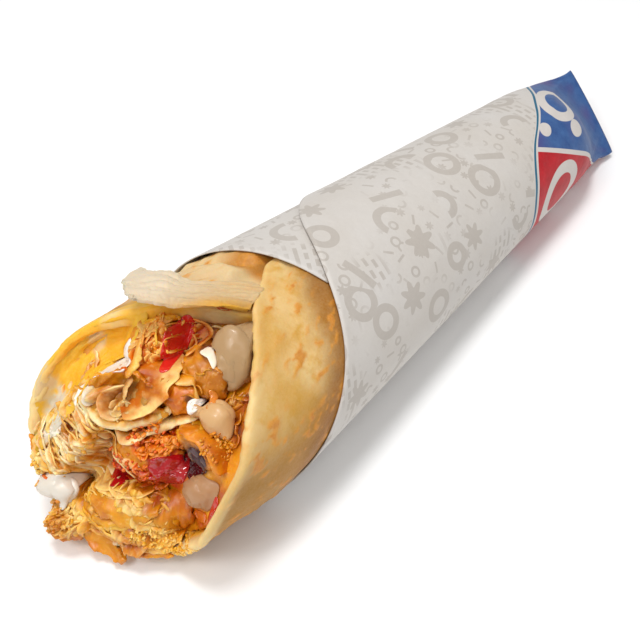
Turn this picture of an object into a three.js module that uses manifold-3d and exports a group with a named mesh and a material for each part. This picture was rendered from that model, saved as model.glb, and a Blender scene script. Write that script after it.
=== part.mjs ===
// A fried chicken wrap in its paper, lying on its side. Units are millimetres, +Z is up and the floor is Z = 0.
// The roll is a flattened cone along X: its open mouth faces -X and its folded paper tail points to +X.
// Every sheet is wound round that cone by a winding angle: 0 is the top, 90 the +Y side, 180 the underside,
// 270 the -Y side, and 360 the top again, one layer further out.
import * as THREE from "three";
import { mergeVertices } from "three/addons/utils/BufferGeometryUtils.js";
import { ImprovedNoise } from "three/addons/math/ImprovedNoise.js";
import Module from "manifold-3d";

const wasm = await Module();
wasm.setup();
const noise = new ImprovedNoise();
const DEG = Math.PI / 180;

// The roll: half its width at X = 0, the radius that each millimetre towards the tail takes off,
// its height as a share of its width, and how much of the round underside is pressed flat.
const MOUTH_RADIUS = 36.9;
const TAPER = 0.085;
const HEIGHT_SHARE = 0.92;
const FOOT = 1.6;

// The tail: where the round roll starts to close, the X of its end fold, the fold's half width, half height and
// middle [Y, Z], how far the fold leans, and the further X of its end for each millimetre of Y.
const TAIL_START = 180;
const TAIL_END = 221;
const TAIL_HALF_WIDTH = 17.5;
const TAIL_HALF_HEIGHT = 1.3;
const TAIL_CENTRE = [-1.5, 11.6];
const TAIL_LEAN = 33 * DEG;
const TAIL_SLANT = 0.37;

// The paper sheet: its thickness, the depth that one turn winds inwards, the winding angles of its inner and outer
// ends, its columns all round and those with folds between the layers, its stations as shares of its length, the
// station where the folds start, how far short of the end fold its inner end stops, and its front edge as
// [winding angle, X].
const PAPER_THICKNESS = 0.5;
const PAPER_PITCH = 1.1;
const PAPER_WINDING = [-26, 450];
const PAPER_COLUMNS = 44;
const FOLD_COLUMNS = 33;
const PAPER_STATIONS = [0, 0.2, 0.42, 0.64, 0.79, 0.83, 0.87, 0.91, 0.955, 1];
const FOLD_STATION = 4;
const FOLD_INSET = 16;
const PAPER_EDGE = [[-26, 50], [20, 42], [75, 31], [130, 21], [180, 12], [230, 14], [268, 28], [301, 40],
  [344, 53], [384, 68], [420, 92], [450, 122]];

// The flatbread sheet, measured the same way. Its inner end lies one pitch deeper, and comes up to the depth of the
// rest between the winding angles of BREAD_TUCK. Then the distances of its stations from its front edge, the X where
// it ends inside the paper, how far its rolled rim reaches and bulges, and how far its lower lip reaches and turns in.
const BREAD_DEPTH = 2.9;
const BREAD_THICKNESS = 2.6;
const BREAD_PITCH = 3.2;
const BREAD_WINDING = [-25, 364];
const BREAD_TUCK = [6, 84];
const BREAD_EDGE = [[-25, 30], [7, 20], [26, 12], [48, 4], [66, -3.5], [83, -12], [96, -17], [111, -20.7],
  [135, -24], [160, -23], [190, -20], [215, -17.5], [244, -16.5], [267, -12.5], [279, -8.5], [287, -4.5], [302, 2.5],
  [320, 13], [344, 26.5], [364, 42]];
const BREAD_STOPS = [0, 1.2, 3.5, 8, 14, 21, 30, 46, 72, 104];
const BREAD_END = 168;
const RIM_DEPTH = 13;
const RIM_BULGE = 3.6;
const LIP_DEPTH = 26;
const LIP_TURN_IN = 2.6;

// The mouth is a slanting opening that faces up and to the -X -Y side. Fillings are placed in its own frame:
// millimetres across it (towards -Y), up it, and out of it.
const MOUTH_CENTRE = new THREE.Vector3(-3, 2, 29.4);
const MOUTH_YAW = 20.8 * DEG;
const MOUTH_PITCH = 36.9 * DEG;
const OUT = new THREE.Vector3(-Math.cos(MOUTH_PITCH) * Math.cos(MOUTH_YAW),
  -Math.cos(MOUTH_PITCH) * Math.sin(MOUTH_YAW), Math.sin(MOUTH_PITCH));
const ACROSS = new THREE.Vector3(Math.sin(MOUTH_YAW), -Math.cos(MOUTH_YAW), 0);
const UP = new THREE.Vector3().crossVectors(ACROSS, OUT).multiplyScalar(-1);

// Pieces that touch keep this gap.
const GAP = 0.42;

// Detail finer than this is dropped: from a piece before it is cut, and from every cut.
const COARSE = 0.5;
const FINE = 0.13;

const smooth = (t) => {
  const c = Math.min(Math.max(t, 0), 1);
  return c * c * (3 - 2 * c);
};

// A smooth curve through [position, value] points, read at any position.
function through(points) {
  const slopes = points.map((p, i) => {
    const before = points[Math.max(i - 1, 0)];
    const after = points[Math.min(i + 1, points.length - 1)];
    return (after[1] - before[1]) / (after[0] - before[0]);
  });
  return (at) => {
    const clamped = Math.min(Math.max(at, points[0][0]), points.at(-1)[0]);
    const i = Math.min(points.findLastIndex((p) => p[0] <= clamped), points.length - 2);
    const span = points[i + 1][0] - points[i][0];
    const t = (clamped - points[i][0]) / span;
    const rise = points[i + 1][1] - points[i][1];
    return points[i][1] + rise * smooth(t)
      + span * t * (1 - t) * (slopes[i] * (1 - t) - slopes[i + 1] * t);
  };
}

const paperEdge = through(PAPER_EDGE);
const breadEdge = through(BREAD_EDGE);
const rollRadius = (x) => MOUTH_RADIUS - TAPER * x;

// The point of the roll at a distance x along it, a winding angle and a depth below its outer skin.
// Over the flat foot it stays at least the lift above the floor.
function onRoll(x, winding, depth, lift = depth) {
  const angle = winding * DEG;
  const wide = rollRadius(x) - depth;
  const tall = rollRadius(x) * HEIGHT_SHARE - depth;
  const y = wide * Math.sin(angle);
  const z = Math.max(rollRadius(x) * HEIGHT_SHARE + tall * Math.cos(angle), FOOT + lift) - FOOT;
  const closing = smooth((x - TAIL_START) / (TAIL_END - TAIL_START));
  const flatY = (TAIL_HALF_WIDTH - depth) * Math.sin(angle + TAIL_LEAN);
  const flatZ = (TAIL_HALF_HEIGHT - depth / 2) * Math.cos(angle + TAIL_LEAN);
  const foldY = TAIL_CENTRE[0] + flatY * Math.cos(TAIL_LEAN) - flatZ * Math.sin(TAIL_LEAN);
  const foldZ = TAIL_CENTRE[1] + flatY * Math.sin(TAIL_LEAN) + flatZ * Math.cos(TAIL_LEAN);
  // The height closes steadily, the width only near the end.
  const wider = closing ** 2.4 * ((foldY - y) * Math.cos(TAIL_LEAN) + (foldZ - z) * Math.sin(TAIL_LEAN));
  const taller = closing * ((foldZ - z) * Math.cos(TAIL_LEAN) - (foldY - y) * Math.sin(TAIL_LEAN));
  return new THREE.Vector3(
    x + closing * TAIL_SLANT * foldY,
    y + wider * Math.cos(TAIL_LEAN) - taller * Math.sin(TAIL_LEAN),
    z + wider * Math.sin(TAIL_LEAN) + taller * Math.cos(TAIL_LEAN),
  );
}

// A closed geometry from loops of points: the rings are joined in order and both ends are closed by a fan.
function fromRings(rings, start, end) {
  const around = rings[0].length;
  const points = [...rings.flat(), start, end];
  const index = [];
  for (let ring = 0; ring + 1 < rings.length; ring++) {
    for (let i = 0; i < around; i++) {
      const a = ring * around + i;
      const b = ring * around + ((i + 1) % around);
      index.push(a, b, a + around, b, b + around, a + around);
    }
  }
  const first = rings.length * around;
  const last = (rings.length - 1) * around;
  for (let i = 0; i < around; i++) {
    const next = (i + 1) % around;
    index.push(first, next, i, first + 1, last + i, last + next);
  }
  return facing(points, index);
}

// A closed sheet: point(u, v, side) gives its outer skin at side 0 and its inner skin at side 1.
function thickSheet(across, along, point) {
  const rings = [];
  for (let j = 0; j <= along; j++) {
    const ring = [];
    for (let i = 0; i <= across; i++) ring.push(point(i / across, j / along, 0));
    for (let i = across; i >= 0; i--) ring.push(point(i / across, j / along, 1));
    rings.push(ring);
  }
  const around = 2 * (across + 1);
  const points = rings.flat();
  const index = [];
  for (let j = 0; j < along; j++) {
    for (let i = 0; i < around; i++) {
      const a = j * around + i;
      const b = j * around + ((i + 1) % around);
      index.push(a, b, a + around, b, b + around, a + around);
    }
  }
  for (let i = 0; i < across; i++) {
    const [a, b, c, d] = [i, i + 1, around - 2 - i, around - 1 - i];
    index.push(a, c, b, a, d, c);
    const far = along * around;
    index.push(far + a, far + b, far + c, far + a, far + c, far + d);
  }
  return facing(points, index);
}

// An indexed geometry whose faces point out, whichever way its loops ran.
function facing(points, index) {
  let volume = 0;
  for (let i = 0; i < index.length; i += 3) {
    const [a, b, c] = [points[index[i]], points[index[i + 1]], points[index[i + 2]]];
    volume += a.dot(new THREE.Vector3().crossVectors(b, c));
  }
  if (volume < 0) {
    for (let i = 0; i < index.length; i += 3) [index[i + 1], index[i + 2]] = [index[i + 2], index[i + 1]];
  }
  return new THREE.BufferGeometry().setFromPoints(points).setIndex(index);
}

function solidFrom(geometry) {
  geometry.deleteAttribute("normal");
  geometry.deleteAttribute("uv");
  const merged = mergeVertices(geometry, 1e-4);
  return new wasm.Manifold(new wasm.Mesh({
    numProp: 3,
    vertProperties: merged.attributes.position.array,
    triVerts: new Uint32Array(merged.index.array),
  }));
}

function geometryFrom(solid) {
  const mesh = solid.getMesh();
  return new THREE.BufferGeometry()
    .setAttribute("position", new THREE.BufferAttribute(mesh.vertProperties, 3))
    .setIndex(new THREE.BufferAttribute(mesh.triVerts, 1));
}

// The same solid with its skin moved out by an amount.
function inflated(solid, amount) {
  const geometry = geometryFrom(solid);
  geometry.computeVertexNormals();
  const place = geometry.getAttribute("position");
  const normal = geometry.getAttribute("normal");
  for (let i = 0; i < place.count; i++) {
    place.setXYZ(i, place.getX(i) + amount * normal.getX(i), place.getY(i) + amount * normal.getY(i),
      place.getZ(i) + amount * normal.getZ(i));
  }
  return solidFrom(geometry);
}

const middleOf = (ring) => ring.reduce((sum, p) => sum.add(p), new THREE.Vector3()).divideScalar(ring.length);

const largest = (solid) => solid.decompose().sort((a, b) => b.volume() - a.volume())[0];

// The paper: one sheet wound 1.3 turns, with its layers folded flat into one another at the tail.
const paperDepth = (winding) => ((PAPER_WINDING[1] - winding) / 360) * PAPER_PITCH;

function paperPoint(winding, station, side) {
  const from = paperEdge(winding);
  const to = TAIL_END - FOLD_INSET * (1 - smooth((winding - 60) / 30));
  const x = from + PAPER_STATIONS[station] * (to - from);
  return onRoll(x, winding, paperDepth(winding) + side * PAPER_THICKNESS, side * PAPER_THICKNESS);
}

function paper() {
  const [inner, outer] = PAPER_WINDING;
  const last = PAPER_STATIONS.length - 1;
  const sheet = thickSheet(PAPER_COLUMNS, last, (u, v, side) =>
    paperPoint(inner + u * (outer - inner), Math.round(v * last), side));
  const rings = [];
  for (let station = FOLD_STATION; station <= last; station++) {
    rings.push(Array.from({ length: FOLD_COLUMNS + 1 }, (_, i) =>
      paperPoint(outer - (i / PAPER_COLUMNS) * (outer - inner), station, 0.5)));
  }
  const folds = fromRings(rings, middleOf(rings[0]), middleOf(rings.at(-1)));
  return largest(solidFrom(sheet).add(solidFrom(folds)).simplify(FINE));
}

// The flatbread: one sheet wound just over a turn. Its front edge is a rounded rim, rolled thicker at the top,
// and its lower lip turns in over the filling.
const breadDepth = (winding) => BREAD_DEPTH
  + BREAD_PITCH * (1 - smooth((winding - BREAD_TUCK[0]) / (BREAD_TUCK[1] - BREAD_TUCK[0])));

const lipTurnIn = (winding) => LIP_TURN_IN * smooth((winding - 205) / 35) * smooth((292 - winding) / 25);

function breadPoint(winding, distance, side) {
  const rolled = RIM_BULGE * smooth((70 - winding) / 45) * (1 - smooth((distance - 4) / RIM_DEPTH));
  const rounding = Math.sqrt(Math.max(0, 1 - Math.max(0, 1 - distance / 3) ** 2));
  const open = 1 - smooth((distance - 16) / 14);
  const blister = 0.5 * open * noise.noise(winding / 21, distance / 7, 3.7);
  const half = (BREAD_THICKNESS / 2) * (0.45 + 0.55 * rounding);
  const middle = breadDepth(winding) + BREAD_THICKNESS / 2 + blister
    + lipTurnIn(winding) * (1 - smooth(distance / LIP_DEPTH));
  return onRoll(breadEdge(winding) + distance, winding, middle + (side ? half + rolled : -half));
}

function flatbread() {
  const [inner, outer] = BREAD_WINDING;
  const last = BREAD_STOPS.length;
  return solidFrom(thickSheet(42, last, (u, v, side) => {
    const winding = inner + u * (outer - inner);
    const stop = Math.round(v * last);
    return breadPoint(winding, stop < last ? BREAD_STOPS[stop] : BREAD_END - breadEdge(winding), side);
  }));
}

// A torn tongue of flatbread that lies along the rim over the top of the roll, with its tip standing off the roll.
// It is a thin sheet between two lines on the roll, each given by points [X, winding angle, depth].
const TONGUE_FRONT = [[26.5, -13, 4.4], [19.5, -4, 2.4], [12, 2.5, 0], [7.4, 6.5, -1.8], [4.6, 12, -2.4],
  [3.6, 15, -2.8]];
const TONGUE_BACK = [[38, -7, 4.6], [30, 3, 2.6], [21.5, 11, 0.2], [18.6, 20, -2.4], [16.4, 27, -3], [17.8, 36, -3.2]];
const TONGUE_THICKNESS = 1.5;
const TONGUE_ARCH = 0.8;
const TONGUE_BITE = 3.4;

function tornTongue() {
  const [front, back] = [TONGUE_FRONT, TONGUE_BACK].map((line) =>
    new THREE.CatmullRomCurve3(line.map((place) => new THREE.Vector3(...place)), false, "catmullrom", 0.5));
  return solidFrom(thickSheet(11, 3, (u, v, side) => {
    const [x, winding, depth] = front.getPoint(u).lerp(back.getPoint(u), v).toArray();
    const bulge = Math.sin(Math.PI * v);
    const torn = 0.9 * noise.noise(u * 6.3, v * 2.4, 8.1) - TONGUE_BITE * bulge * smooth(u * 3 - 2);
    return onRoll(x + torn, winding, depth - TONGUE_ARCH * bulge + (side - 0.5) * TONGUE_THICKNESS);
  }));
}

// The filling runs through the roll. At the mouth it ends in a craggy dome with a hollow on its -Y side.
const CORE_END = 166;
const CORE_DOME = 4;
const HOLLOW = { across: 14.1, up: -2.9, width: 6, depth: 6 };
const coreDepth = (angle) => {
  const single = breadDepth(angle) + BREAD_THICKNESS;
  const doubled = breadDepth(angle - 360) + BREAD_THICKNESS;
  return 0.5 + single + (doubled - single) * smooth((angle - 295) / 35);
};

function chickenCore() {
  const angles = Array.from({ length: 36 }, (_, i) => i * 10);
  const body = [CORE_END, 124, 88, 58].map((x) => angles.map((a) => onRoll(x, a, coreDepth(a))));
  const shoulder = [26, 15, 6].map((inset) => angles.map((a) => {
    const depth = coreDepth(a) + lipTurnIn(a) * (1 - smooth(inset / LIP_DEPTH));
    return onRoll(breadEdge(a) + inset, a, depth);
  }));
  const rim = shoulder.at(-1);
  const dome = [0.87, 0.73, 0.59, 0.44, 0.28, 0.12].map((share) => rim.map((p) => {
    const flat = inMouth(0, 0, 0).lerp(p, share);
    const crag = 2.6 * Math.abs(noise.noise(flat.x / 5, flat.y / 5, flat.z / 5)) - 1;
    const away = flat.clone().sub(inMouth(HOLLOW.across, HOLLOW.up, 0));
    away.addScaledVector(OUT, -away.dot(OUT));
    const dip = HOLLOW.depth * (1 - smooth(away.length() / HOLLOW.width));
    return flat.addScaledVector(OUT, CORE_DOME * (1 - share ** 2) - 1 + crag - dip);
  }));
  return solidFrom(fromRings([...body, ...shoulder, ...dome], middleOf(body[0]), inMouth(0, 0, CORE_DOME - 1)));
}

function inMouth(across, up, out) {
  return MOUTH_CENTRE.clone().addScaledVector(ACROSS, across).addScaledVector(UP, up).addScaledVector(OUT, out);
}

// A rounded piece in the mouth: at and size are [across, up, out], turn is its roll about the out axis in degrees.
// crag is the depth of its relief as a share of its size, and grain how many crags it has across.
function lump({ at, size, turn = 0, crag = 0.16, grain = 2.2, detail = 3 }) {
  const geometry = new THREE.IcosahedronGeometry(1, detail);
  const place = geometry.getAttribute("position");
  const d = new THREE.Vector3();
  const seed = at[0] * 0.37 + at[1] * 0.11;
  for (let i = 0; i < place.count; i++) {
    d.fromBufferAttribute(place, i).normalize();
    const coarse = noise.noise(d.x * grain + seed, d.y * grain, d.z * grain - seed);
    const fine = noise.noise(d.x * grain * 2.3, d.y * grain * 2.3 + seed, d.z * grain * 2.3);
    const reach = 1 + crag * (1.6 * coarse + 0.9 * Math.abs(fine) * 2 - 0.4);
    const [a, u, o] = size.map((s, k) => d.getComponent(k) * s * reach);
    const c = Math.cos(turn * DEG);
    const s = Math.sin(turn * DEG);
    const p = inMouth(at[0] + a * c - u * s, at[1] + a * s + u * c, at[2] + o);
    place.setXYZ(i, p.x, p.y, Math.max(p.z, 0.2));
  }
  return solidFrom(geometry);
}

// A thin crust flake: size is [half length, half width, thickness], curl how far its rim stands up,
// turn its roll about the out axis, tip how far its length leans out of the mouth, both in degrees.
function flake({ at, size, turn = 0, tip = 0, curl = 2, ruffle = 0.5, cells = [5, 3] }) {
  const [length, width, thickness] = size;
  const seed = at[0] * 0.53 + at[1] * 0.29;
  return solidFrom(thickSheet(...cells, (u, v, side) => {
    const [x, y] = [u * 2 - 1, v * 2 - 1];
    const a = x * Math.sqrt(1 - (y * y) / 2);
    const b = y * Math.sqrt(1 - (x * x) / 2);
    const reach = 1 + 0.22 * noise.noise(a * 2 + seed, b * 2, 1.3);
    const bend = curl * (a * a + b * b) + ruffle * Math.sin(7 * Math.atan2(b, a)) * (a * a + b * b);
    const l = a * length * reach;
    const w = b * width * reach;
    const o = bend + (0.5 - side) * thickness;
    const leanL = l * Math.cos(tip * DEG) - o * Math.sin(tip * DEG);
    const leanO = l * Math.sin(tip * DEG) + o * Math.cos(tip * DEG);
    const c = Math.cos(turn * DEG);
    const s = Math.sin(turn * DEG);
    const p = inMouth(at[0] + leanL * c - w * s, at[1] + leanL * s + w * c, at[2] + leanO);
    return new THREE.Vector3(p.x, p.y, Math.max(p.z, side ? 0.1 : 0.5));
  }));
}

const joined = (...solids) => solids.reduce((a, b) => a.add(b)).simplify(COARSE);

// Parallel crust leaves that stand side by side, as on the left of the mouth.
function leaves({ from, to, count, size, turn, tip }) {
  return Array.from({ length: count }, (_, i) => {
    const share = i / (count - 1);
    const at = from.map((value, k) => value + (to[k] - value) * share);
    const uneven = noise.noise(i * 1.7, 0.5, 2.2);
    return flake({
      at,
      size: [size[0] * (1 + 0.25 * uneven), size[1] * (1 - 0.2 * uneven), size[2]],
      turn: turn + 16 * uneven,
      tip: tip + 10 * uneven,
      cells: [4, 2],
    });
  });
}

// The pieces of the mouth, in the order in which they lie: each one is cut clear of those before it.
const COLOUR = {
  paper: 0xcfc9c4, bread: 0xe3c489, chicken: 0xd9933f, crust: 0xe6b76a, whiteSauce: 0xece6da, redSauce: 0xb3141b,
};
const PIECES = [
  ["flatbread", COLOUR.bread, flatbread],
  ["torn_tongue", COLOUR.bread, tornTongue],
  ["chicken_core", COLOUR.chicken, chickenCore],
  ["chicken_top", COLOUR.chicken, () => joined(
    lump({ at: [-3.4, 21.5, 2], size: [6.5, 7.5, 5.5], turn: -8, grain: 2.8 }),
    flake({ at: [-3.4, 18.6, 6.6], size: [5.8, 2.3, 1.3], turn: -66, tip: -6, curl: 0.8 }),
    flake({ at: [0.2, 25, 6.4], size: [5, 2.2, 1.2], turn: -78, tip: 4, curl: -0.6 }),
  )],
  ["chicken_right", COLOUR.chicken, () => joined(
    lump({ at: [13.7, 20, 4], size: [7.4, 7.2, 5], turn: 15, crag: 0.12, grain: 1.5 }),
    flake({ at: [7, 29, 5.4], size: [3.4, 1.1, 1.1], turn: -41, tip: 8, curl: 0.2, ruffle: 0.1 }),
    flake({ at: [10.6, 28.6, 5.8], size: [3, 1.1, 1.1], turn: -15, tip: 4, curl: 0.2, ruffle: 0.1 }),
  )],
  ["chicken_middle", COLOUR.chicken, () => lump({ at: [8.9, 13.2, 6.6], size: [5.4, 5.4, 5], turn: 16,
    detail: 2 })],
  ["chicken_arm", COLOUR.crust, () => lump({ at: [18.8, 2.2, 7.6], size: [9, 4.3, 4.4], turn: -27, crag: 0.12 })],
  ["chicken_sauced", COLOUR.chicken, () => lump({ at: [2.4, -5, 4], size: [10, 7.6, 5.5], turn: 10, grain: 3.2 })],
  ["chicken_lower", COLOUR.chicken, () => joined(
    lump({ at: [-0.8, -22.5, 2.4], size: [14.6, 9.4, 6], turn: 8, crag: 0.11, grain: 1.8 }),
    flake({ at: [7, -30, 4.2], size: [8, 3, 1.3], turn: 8, tip: -8, curl: 0.8 }),
    flake({ at: [-5.4, -33.4, 4.4], size: [8, 2.4, 1.6], turn: -24, tip: -4, curl: 0.6 }),
    flake({ at: [-1.9, -18.8, 7.6], size: [8, 3, 1.3], turn: -7, tip: 4, curl: -0.8 }),
  )],
  ["chicken_corner", COLOUR.chicken, () => joined(
    lump({ at: [-15.6, -28.2, 3.2], size: [6.4, 6, 5], turn: 18, crag: 0.2 }),
    flake({ at: [-17.6, -31.2, 6.4], size: [4.6, 2.8, 1.3], turn: -23, tip: 6, curl: 1.6 }),
    flake({ at: [-12.6, -30.6, 6.8], size: [4.8, 2.6, 1.3], turn: 44, tip: 0, curl: -1.4 }),
  )],
  ["layered_crust", COLOUR.crust, () => joined(
    lump({ at: [-21, -8, 1.6], size: [8.6, 10, 5.4], turn: 36, crag: 0.12, detail: 1 }),
    lump({ at: [-25.6, -15.6, 5.4], size: [3.2, 3.4, 2.8], turn: 17, crag: 0.2, grain: 1.6, detail: 1 }),
    ...leaves({ from: [-24, -13, 6], to: [-14, 3.5, 7.4], count: 7, size: [7.2, 3.2, 1.3], turn: -36, tip: 6 }),
  )],
  ["curled_crust", COLOUR.crust, () => joined(
    flake({ at: [-6, 10.4, 7.4], size: [10.6, 6.4, 1.3], turn: 29, tip: 3, curl: 4, ruffle: 0.8 }),
    flake({ at: [1.6, 11.6, 9.2], size: [9.2, 2.8, 1.3], turn: 41, tip: 4, curl: 0.6, ruffle: 0.3 }),
    flake({ at: [-0.9, 5, 8.6], size: [10.2, 2.4, 1.3], turn: 23, tip: 0, curl: 0.6, ruffle: 0.3 }),
    lump({ at: [-4.4, 8.8, 6.4], size: [7, 5, 2.8], turn: 29, detail: 1 }),
  )],
  ["white_sauce_corner", COLOUR.whiteSauce, () => joined(
    lump({ at: [-20.3, -20.4, 7], size: [6.6, 4, 2.8], turn: 10, crag: 0.1, grain: 1.4, detail: 2 }),
    lump({ at: [-16.6, -23.4, 7], size: [1.6, 2.4, 1.8], turn: 17, crag: 0, detail: 1 }),
  )],
  ["white_sauce_top", COLOUR.whiteSauce, () => joined(
    lump({ at: [-8, 21.4, 7.4], size: [1.1, 3.2, 1.6], turn: 15, crag: 0, detail: 1 }),
    lump({ at: [-9.8, 16.8, 7.8], size: [5.2, 1.4, 1.6], turn: 31, crag: 0, detail: 1 }),
  )],
  ["white_sauce_left", COLOUR.whiteSauce, () => lump({ at: [-25.2, -0.4, 4.6], size: [4.6, 5, 2.8], turn: 16,
    crag: 0.1, grain: 1.4, detail: 2 })],
  ["white_sauce_slice", COLOUR.whiteSauce, () => lump({ at: [19.2, 25.6, 4.6], size: [5.8, 8.8, 3.2], turn: 11,
    crag: 0.06, grain: 1.3 })],
  ["white_sauce_right", COLOUR.whiteSauce, () => joined(
    lump({ at: [20.3, 10.9, 8.6], size: [4.9, 4.9, 3], turn: 16, crag: 0.05, grain: 1.2, detail: 2 }),
    lump({ at: [14, 11.7, 10.4], size: [2.2, 2.1, 1.7], turn: 16, crag: 0.05, detail: 1 }),
    lump({ at: [16.8, 11.2, 9.6], size: [2.6, 1.4, 1.2], crag: 0, detail: 1 }),
  )],
  ["white_sauce_lower", COLOUR.whiteSauce, () => lump({ at: [20, -9.2, 7.4], size: [5.8, 5, 3.2], turn: 17,
    crag: 0.09, grain: 1.3, detail: 2 })],
  ["red_sauce_top", COLOUR.redSauce, () => lump({ at: [4.3, 24, 6.8], size: [2.4, 5, 2], turn: 15,
    crag: 0.1, detail: 2 })],
  ["red_sauce_middle", COLOUR.redSauce, () => lump({ at: [9.4, -6.4, 8], size: [4.9, 4.1, 2.6], turn: 17,
    crag: 0.08, detail: 2 })],
  ["red_sauce_left", COLOUR.redSauce, () => lump({ at: [-1.6, -11, 8], size: [5.6, 2.7, 2.2], turn: 2,
    crag: 0.1, detail: 2 })],
];

function wrap() {
  const group = new THREE.Group();
  const add = (name, colour, roughness, solid) => {
    const material = new THREE.MeshStandardMaterial({ color: colour, roughness, metalness: 0 });
    const mesh = new THREE.Mesh(geometryFrom(solid), material);
    mesh.name = name;
    group.add(mesh);
  };
  add("paper_sheet", COLOUR.paper, 0.75, paper());
  const cutters = [];
  for (const [name, colour, make] of PIECES) {
    const cut = cutters.reduce((solid, cutter) => solid.subtract(cutter), make());
    const clear = largest(largest(cut).simplify(FINE));
    add(name, colour, colour === COLOUR.redSauce || colour === COLOUR.whiteSauce ? 0.25 : 0.6, clear);
    cutters.push(inflated(clear, GAP).add(clear));
  }
  return group;
}

// The origin is the middle of the underside of the box that holds the whole wrap.
const model = wrap();
const box = new THREE.Box3().setFromObject(model);
model.position.set(-(box.min.x + box.max.x) / 2, -(box.min.y + box.max.y) / 2, -box.min.z);

export default model;
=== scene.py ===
# %% [markdown]
# # A fried chicken wrap in its paper
# The real thing is a flatbread wound round crisp fried chicken and sauces, and held in a sheet of
# printed greaseproof paper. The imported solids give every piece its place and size. This lesson
# dresses them: thin wound sheets for paper and bread, craggy relief and hundreds of curled crust
# leaves for the chicken, and glossy pools for the sauces.

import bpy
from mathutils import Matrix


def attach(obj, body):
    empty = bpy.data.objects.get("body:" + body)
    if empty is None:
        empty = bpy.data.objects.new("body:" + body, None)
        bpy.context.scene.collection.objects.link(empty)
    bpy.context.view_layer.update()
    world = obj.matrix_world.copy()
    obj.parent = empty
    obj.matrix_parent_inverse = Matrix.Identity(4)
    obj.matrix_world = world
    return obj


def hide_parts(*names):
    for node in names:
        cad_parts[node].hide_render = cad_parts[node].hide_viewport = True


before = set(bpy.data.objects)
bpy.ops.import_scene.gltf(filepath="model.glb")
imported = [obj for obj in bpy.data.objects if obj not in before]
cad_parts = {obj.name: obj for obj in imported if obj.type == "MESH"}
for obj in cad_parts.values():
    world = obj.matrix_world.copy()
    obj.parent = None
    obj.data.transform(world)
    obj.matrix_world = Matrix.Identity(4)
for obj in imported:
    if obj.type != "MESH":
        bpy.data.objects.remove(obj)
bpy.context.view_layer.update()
print("packed nodes:", len(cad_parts))

# %% Modules and units
import math
import random

import bpy
from mathutils import Matrix, Vector, noise
from mathutils.bvhtree import BVHTree

MM = 0.001
STATION = Vector((-95.228, -0.638, 0.0))


def to_frame(point):
    """A point in millimetres from the mouth station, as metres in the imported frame."""
    return (point + STATION) * MM


def ease(t):
    """A smooth step from 0 to 1."""
    t = min(max(t, 0.0), 1.0)
    return t * t * (3 - 2 * t)


def through(points):
    """A smooth curve through (position, value) points."""
    slopes = []
    for i in range(len(points)):
        before, after = points[max(i - 1, 0)], points[min(i + 1, len(points) - 1)]
        slopes.append((after[1] - before[1]) / (after[0] - before[0]))

    def read(at):
        at = min(max(at, points[0][0]), points[-1][0])
        i = max(k for k in range(len(points) - 1) if points[k][0] <= at)
        span = points[i + 1][0] - points[i][0]
        t = (at - points[i][0]) / span
        rise = points[i + 1][1] - points[i][1]
        bend = span * t * (1 - t) * (slopes[i] * (1 - t) - slopes[i + 1] * t)
        return points[i][1] + rise * ease(t) + bend

    return read


# %% [markdown]
# ## The roll as a map
# Paper and bread are both wound round one slightly tapered roll, flat underneath and closed at the
# tail. It helps to describe that roll once, as a map from a distance along it, a winding angle and a
# depth under its skin to a point in space. A winding angle of 0 is the top, 90 the far side, 180 the
# underside, 270 the near side and 360 the top again, one layer further out.

# %% The roll's sizes and its map
MOUTH_RADIUS = 36.9
TAPER = 0.085
HEIGHT_SHARE = 0.92
FOOT = 1.6
TAIL_START, TAIL_END = 180.0, 221.0
TAIL_HALF_WIDTH, TAIL_HALF_HEIGHT = 17.5, 1.3
TAIL_CENTRE = (-1.5, 11.6)
TAIL_LEAN = math.radians(33)
TAIL_SLANT = 0.37


def on_roll(x, winding, depth, lift=None):
    """The point at x millimetres along the roll, at a winding angle, so deep below its skin."""
    angle = math.radians(winding)
    radius = MOUTH_RADIUS - TAPER * x
    lift = depth if lift is None else lift
    y = (radius - depth) * math.sin(angle)
    z = radius * HEIGHT_SHARE + (radius * HEIGHT_SHARE - depth) * math.cos(angle)
    z = max(z, FOOT + lift) - FOOT
    closing = ease((x - TAIL_START) / (TAIL_END - TAIL_START))
    lean_c, lean_s = math.cos(TAIL_LEAN), math.sin(TAIL_LEAN)
    flat_y = (TAIL_HALF_WIDTH - depth) * math.sin(angle + TAIL_LEAN)
    flat_z = (TAIL_HALF_HEIGHT - depth / 2) * math.cos(angle + TAIL_LEAN)
    fold_y = TAIL_CENTRE[0] + flat_y * lean_c - flat_z * lean_s
    fold_z = TAIL_CENTRE[1] + flat_y * lean_s + flat_z * lean_c
    wider = closing ** 2.4 * ((fold_y - y) * lean_c + (fold_z - z) * lean_s)
    taller = closing * ((fold_z - z) * lean_c - (fold_y - y) * lean_s)
    return Vector((x + closing * TAIL_SLANT * fold_y,
                   y + wider * lean_c - taller * lean_s,
                   z + wider * lean_s + taller * lean_c))


def on_sheet(x, winding):
    """The same place on the paper laid flat: a cone unrolls to a sector of a circle."""
    slope = math.sqrt(1 + TAPER * TAPER)
    reach = (MOUTH_RADIUS / TAPER - x) * slope
    turn = math.radians(winding) * TAPER / slope
    return reach * math.sin(turn), reach * math.cos(turn)


print("roll, mm across at the mouth:", round(2 * MOUTH_RADIUS, 1))

# %% [markdown]
# ## The mouth as a map
# The open end slants, so the filling is placed in the mouth's own frame: millimetres across it, up
# it and out of it. Turns in that frame are counted from across towards up.

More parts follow.
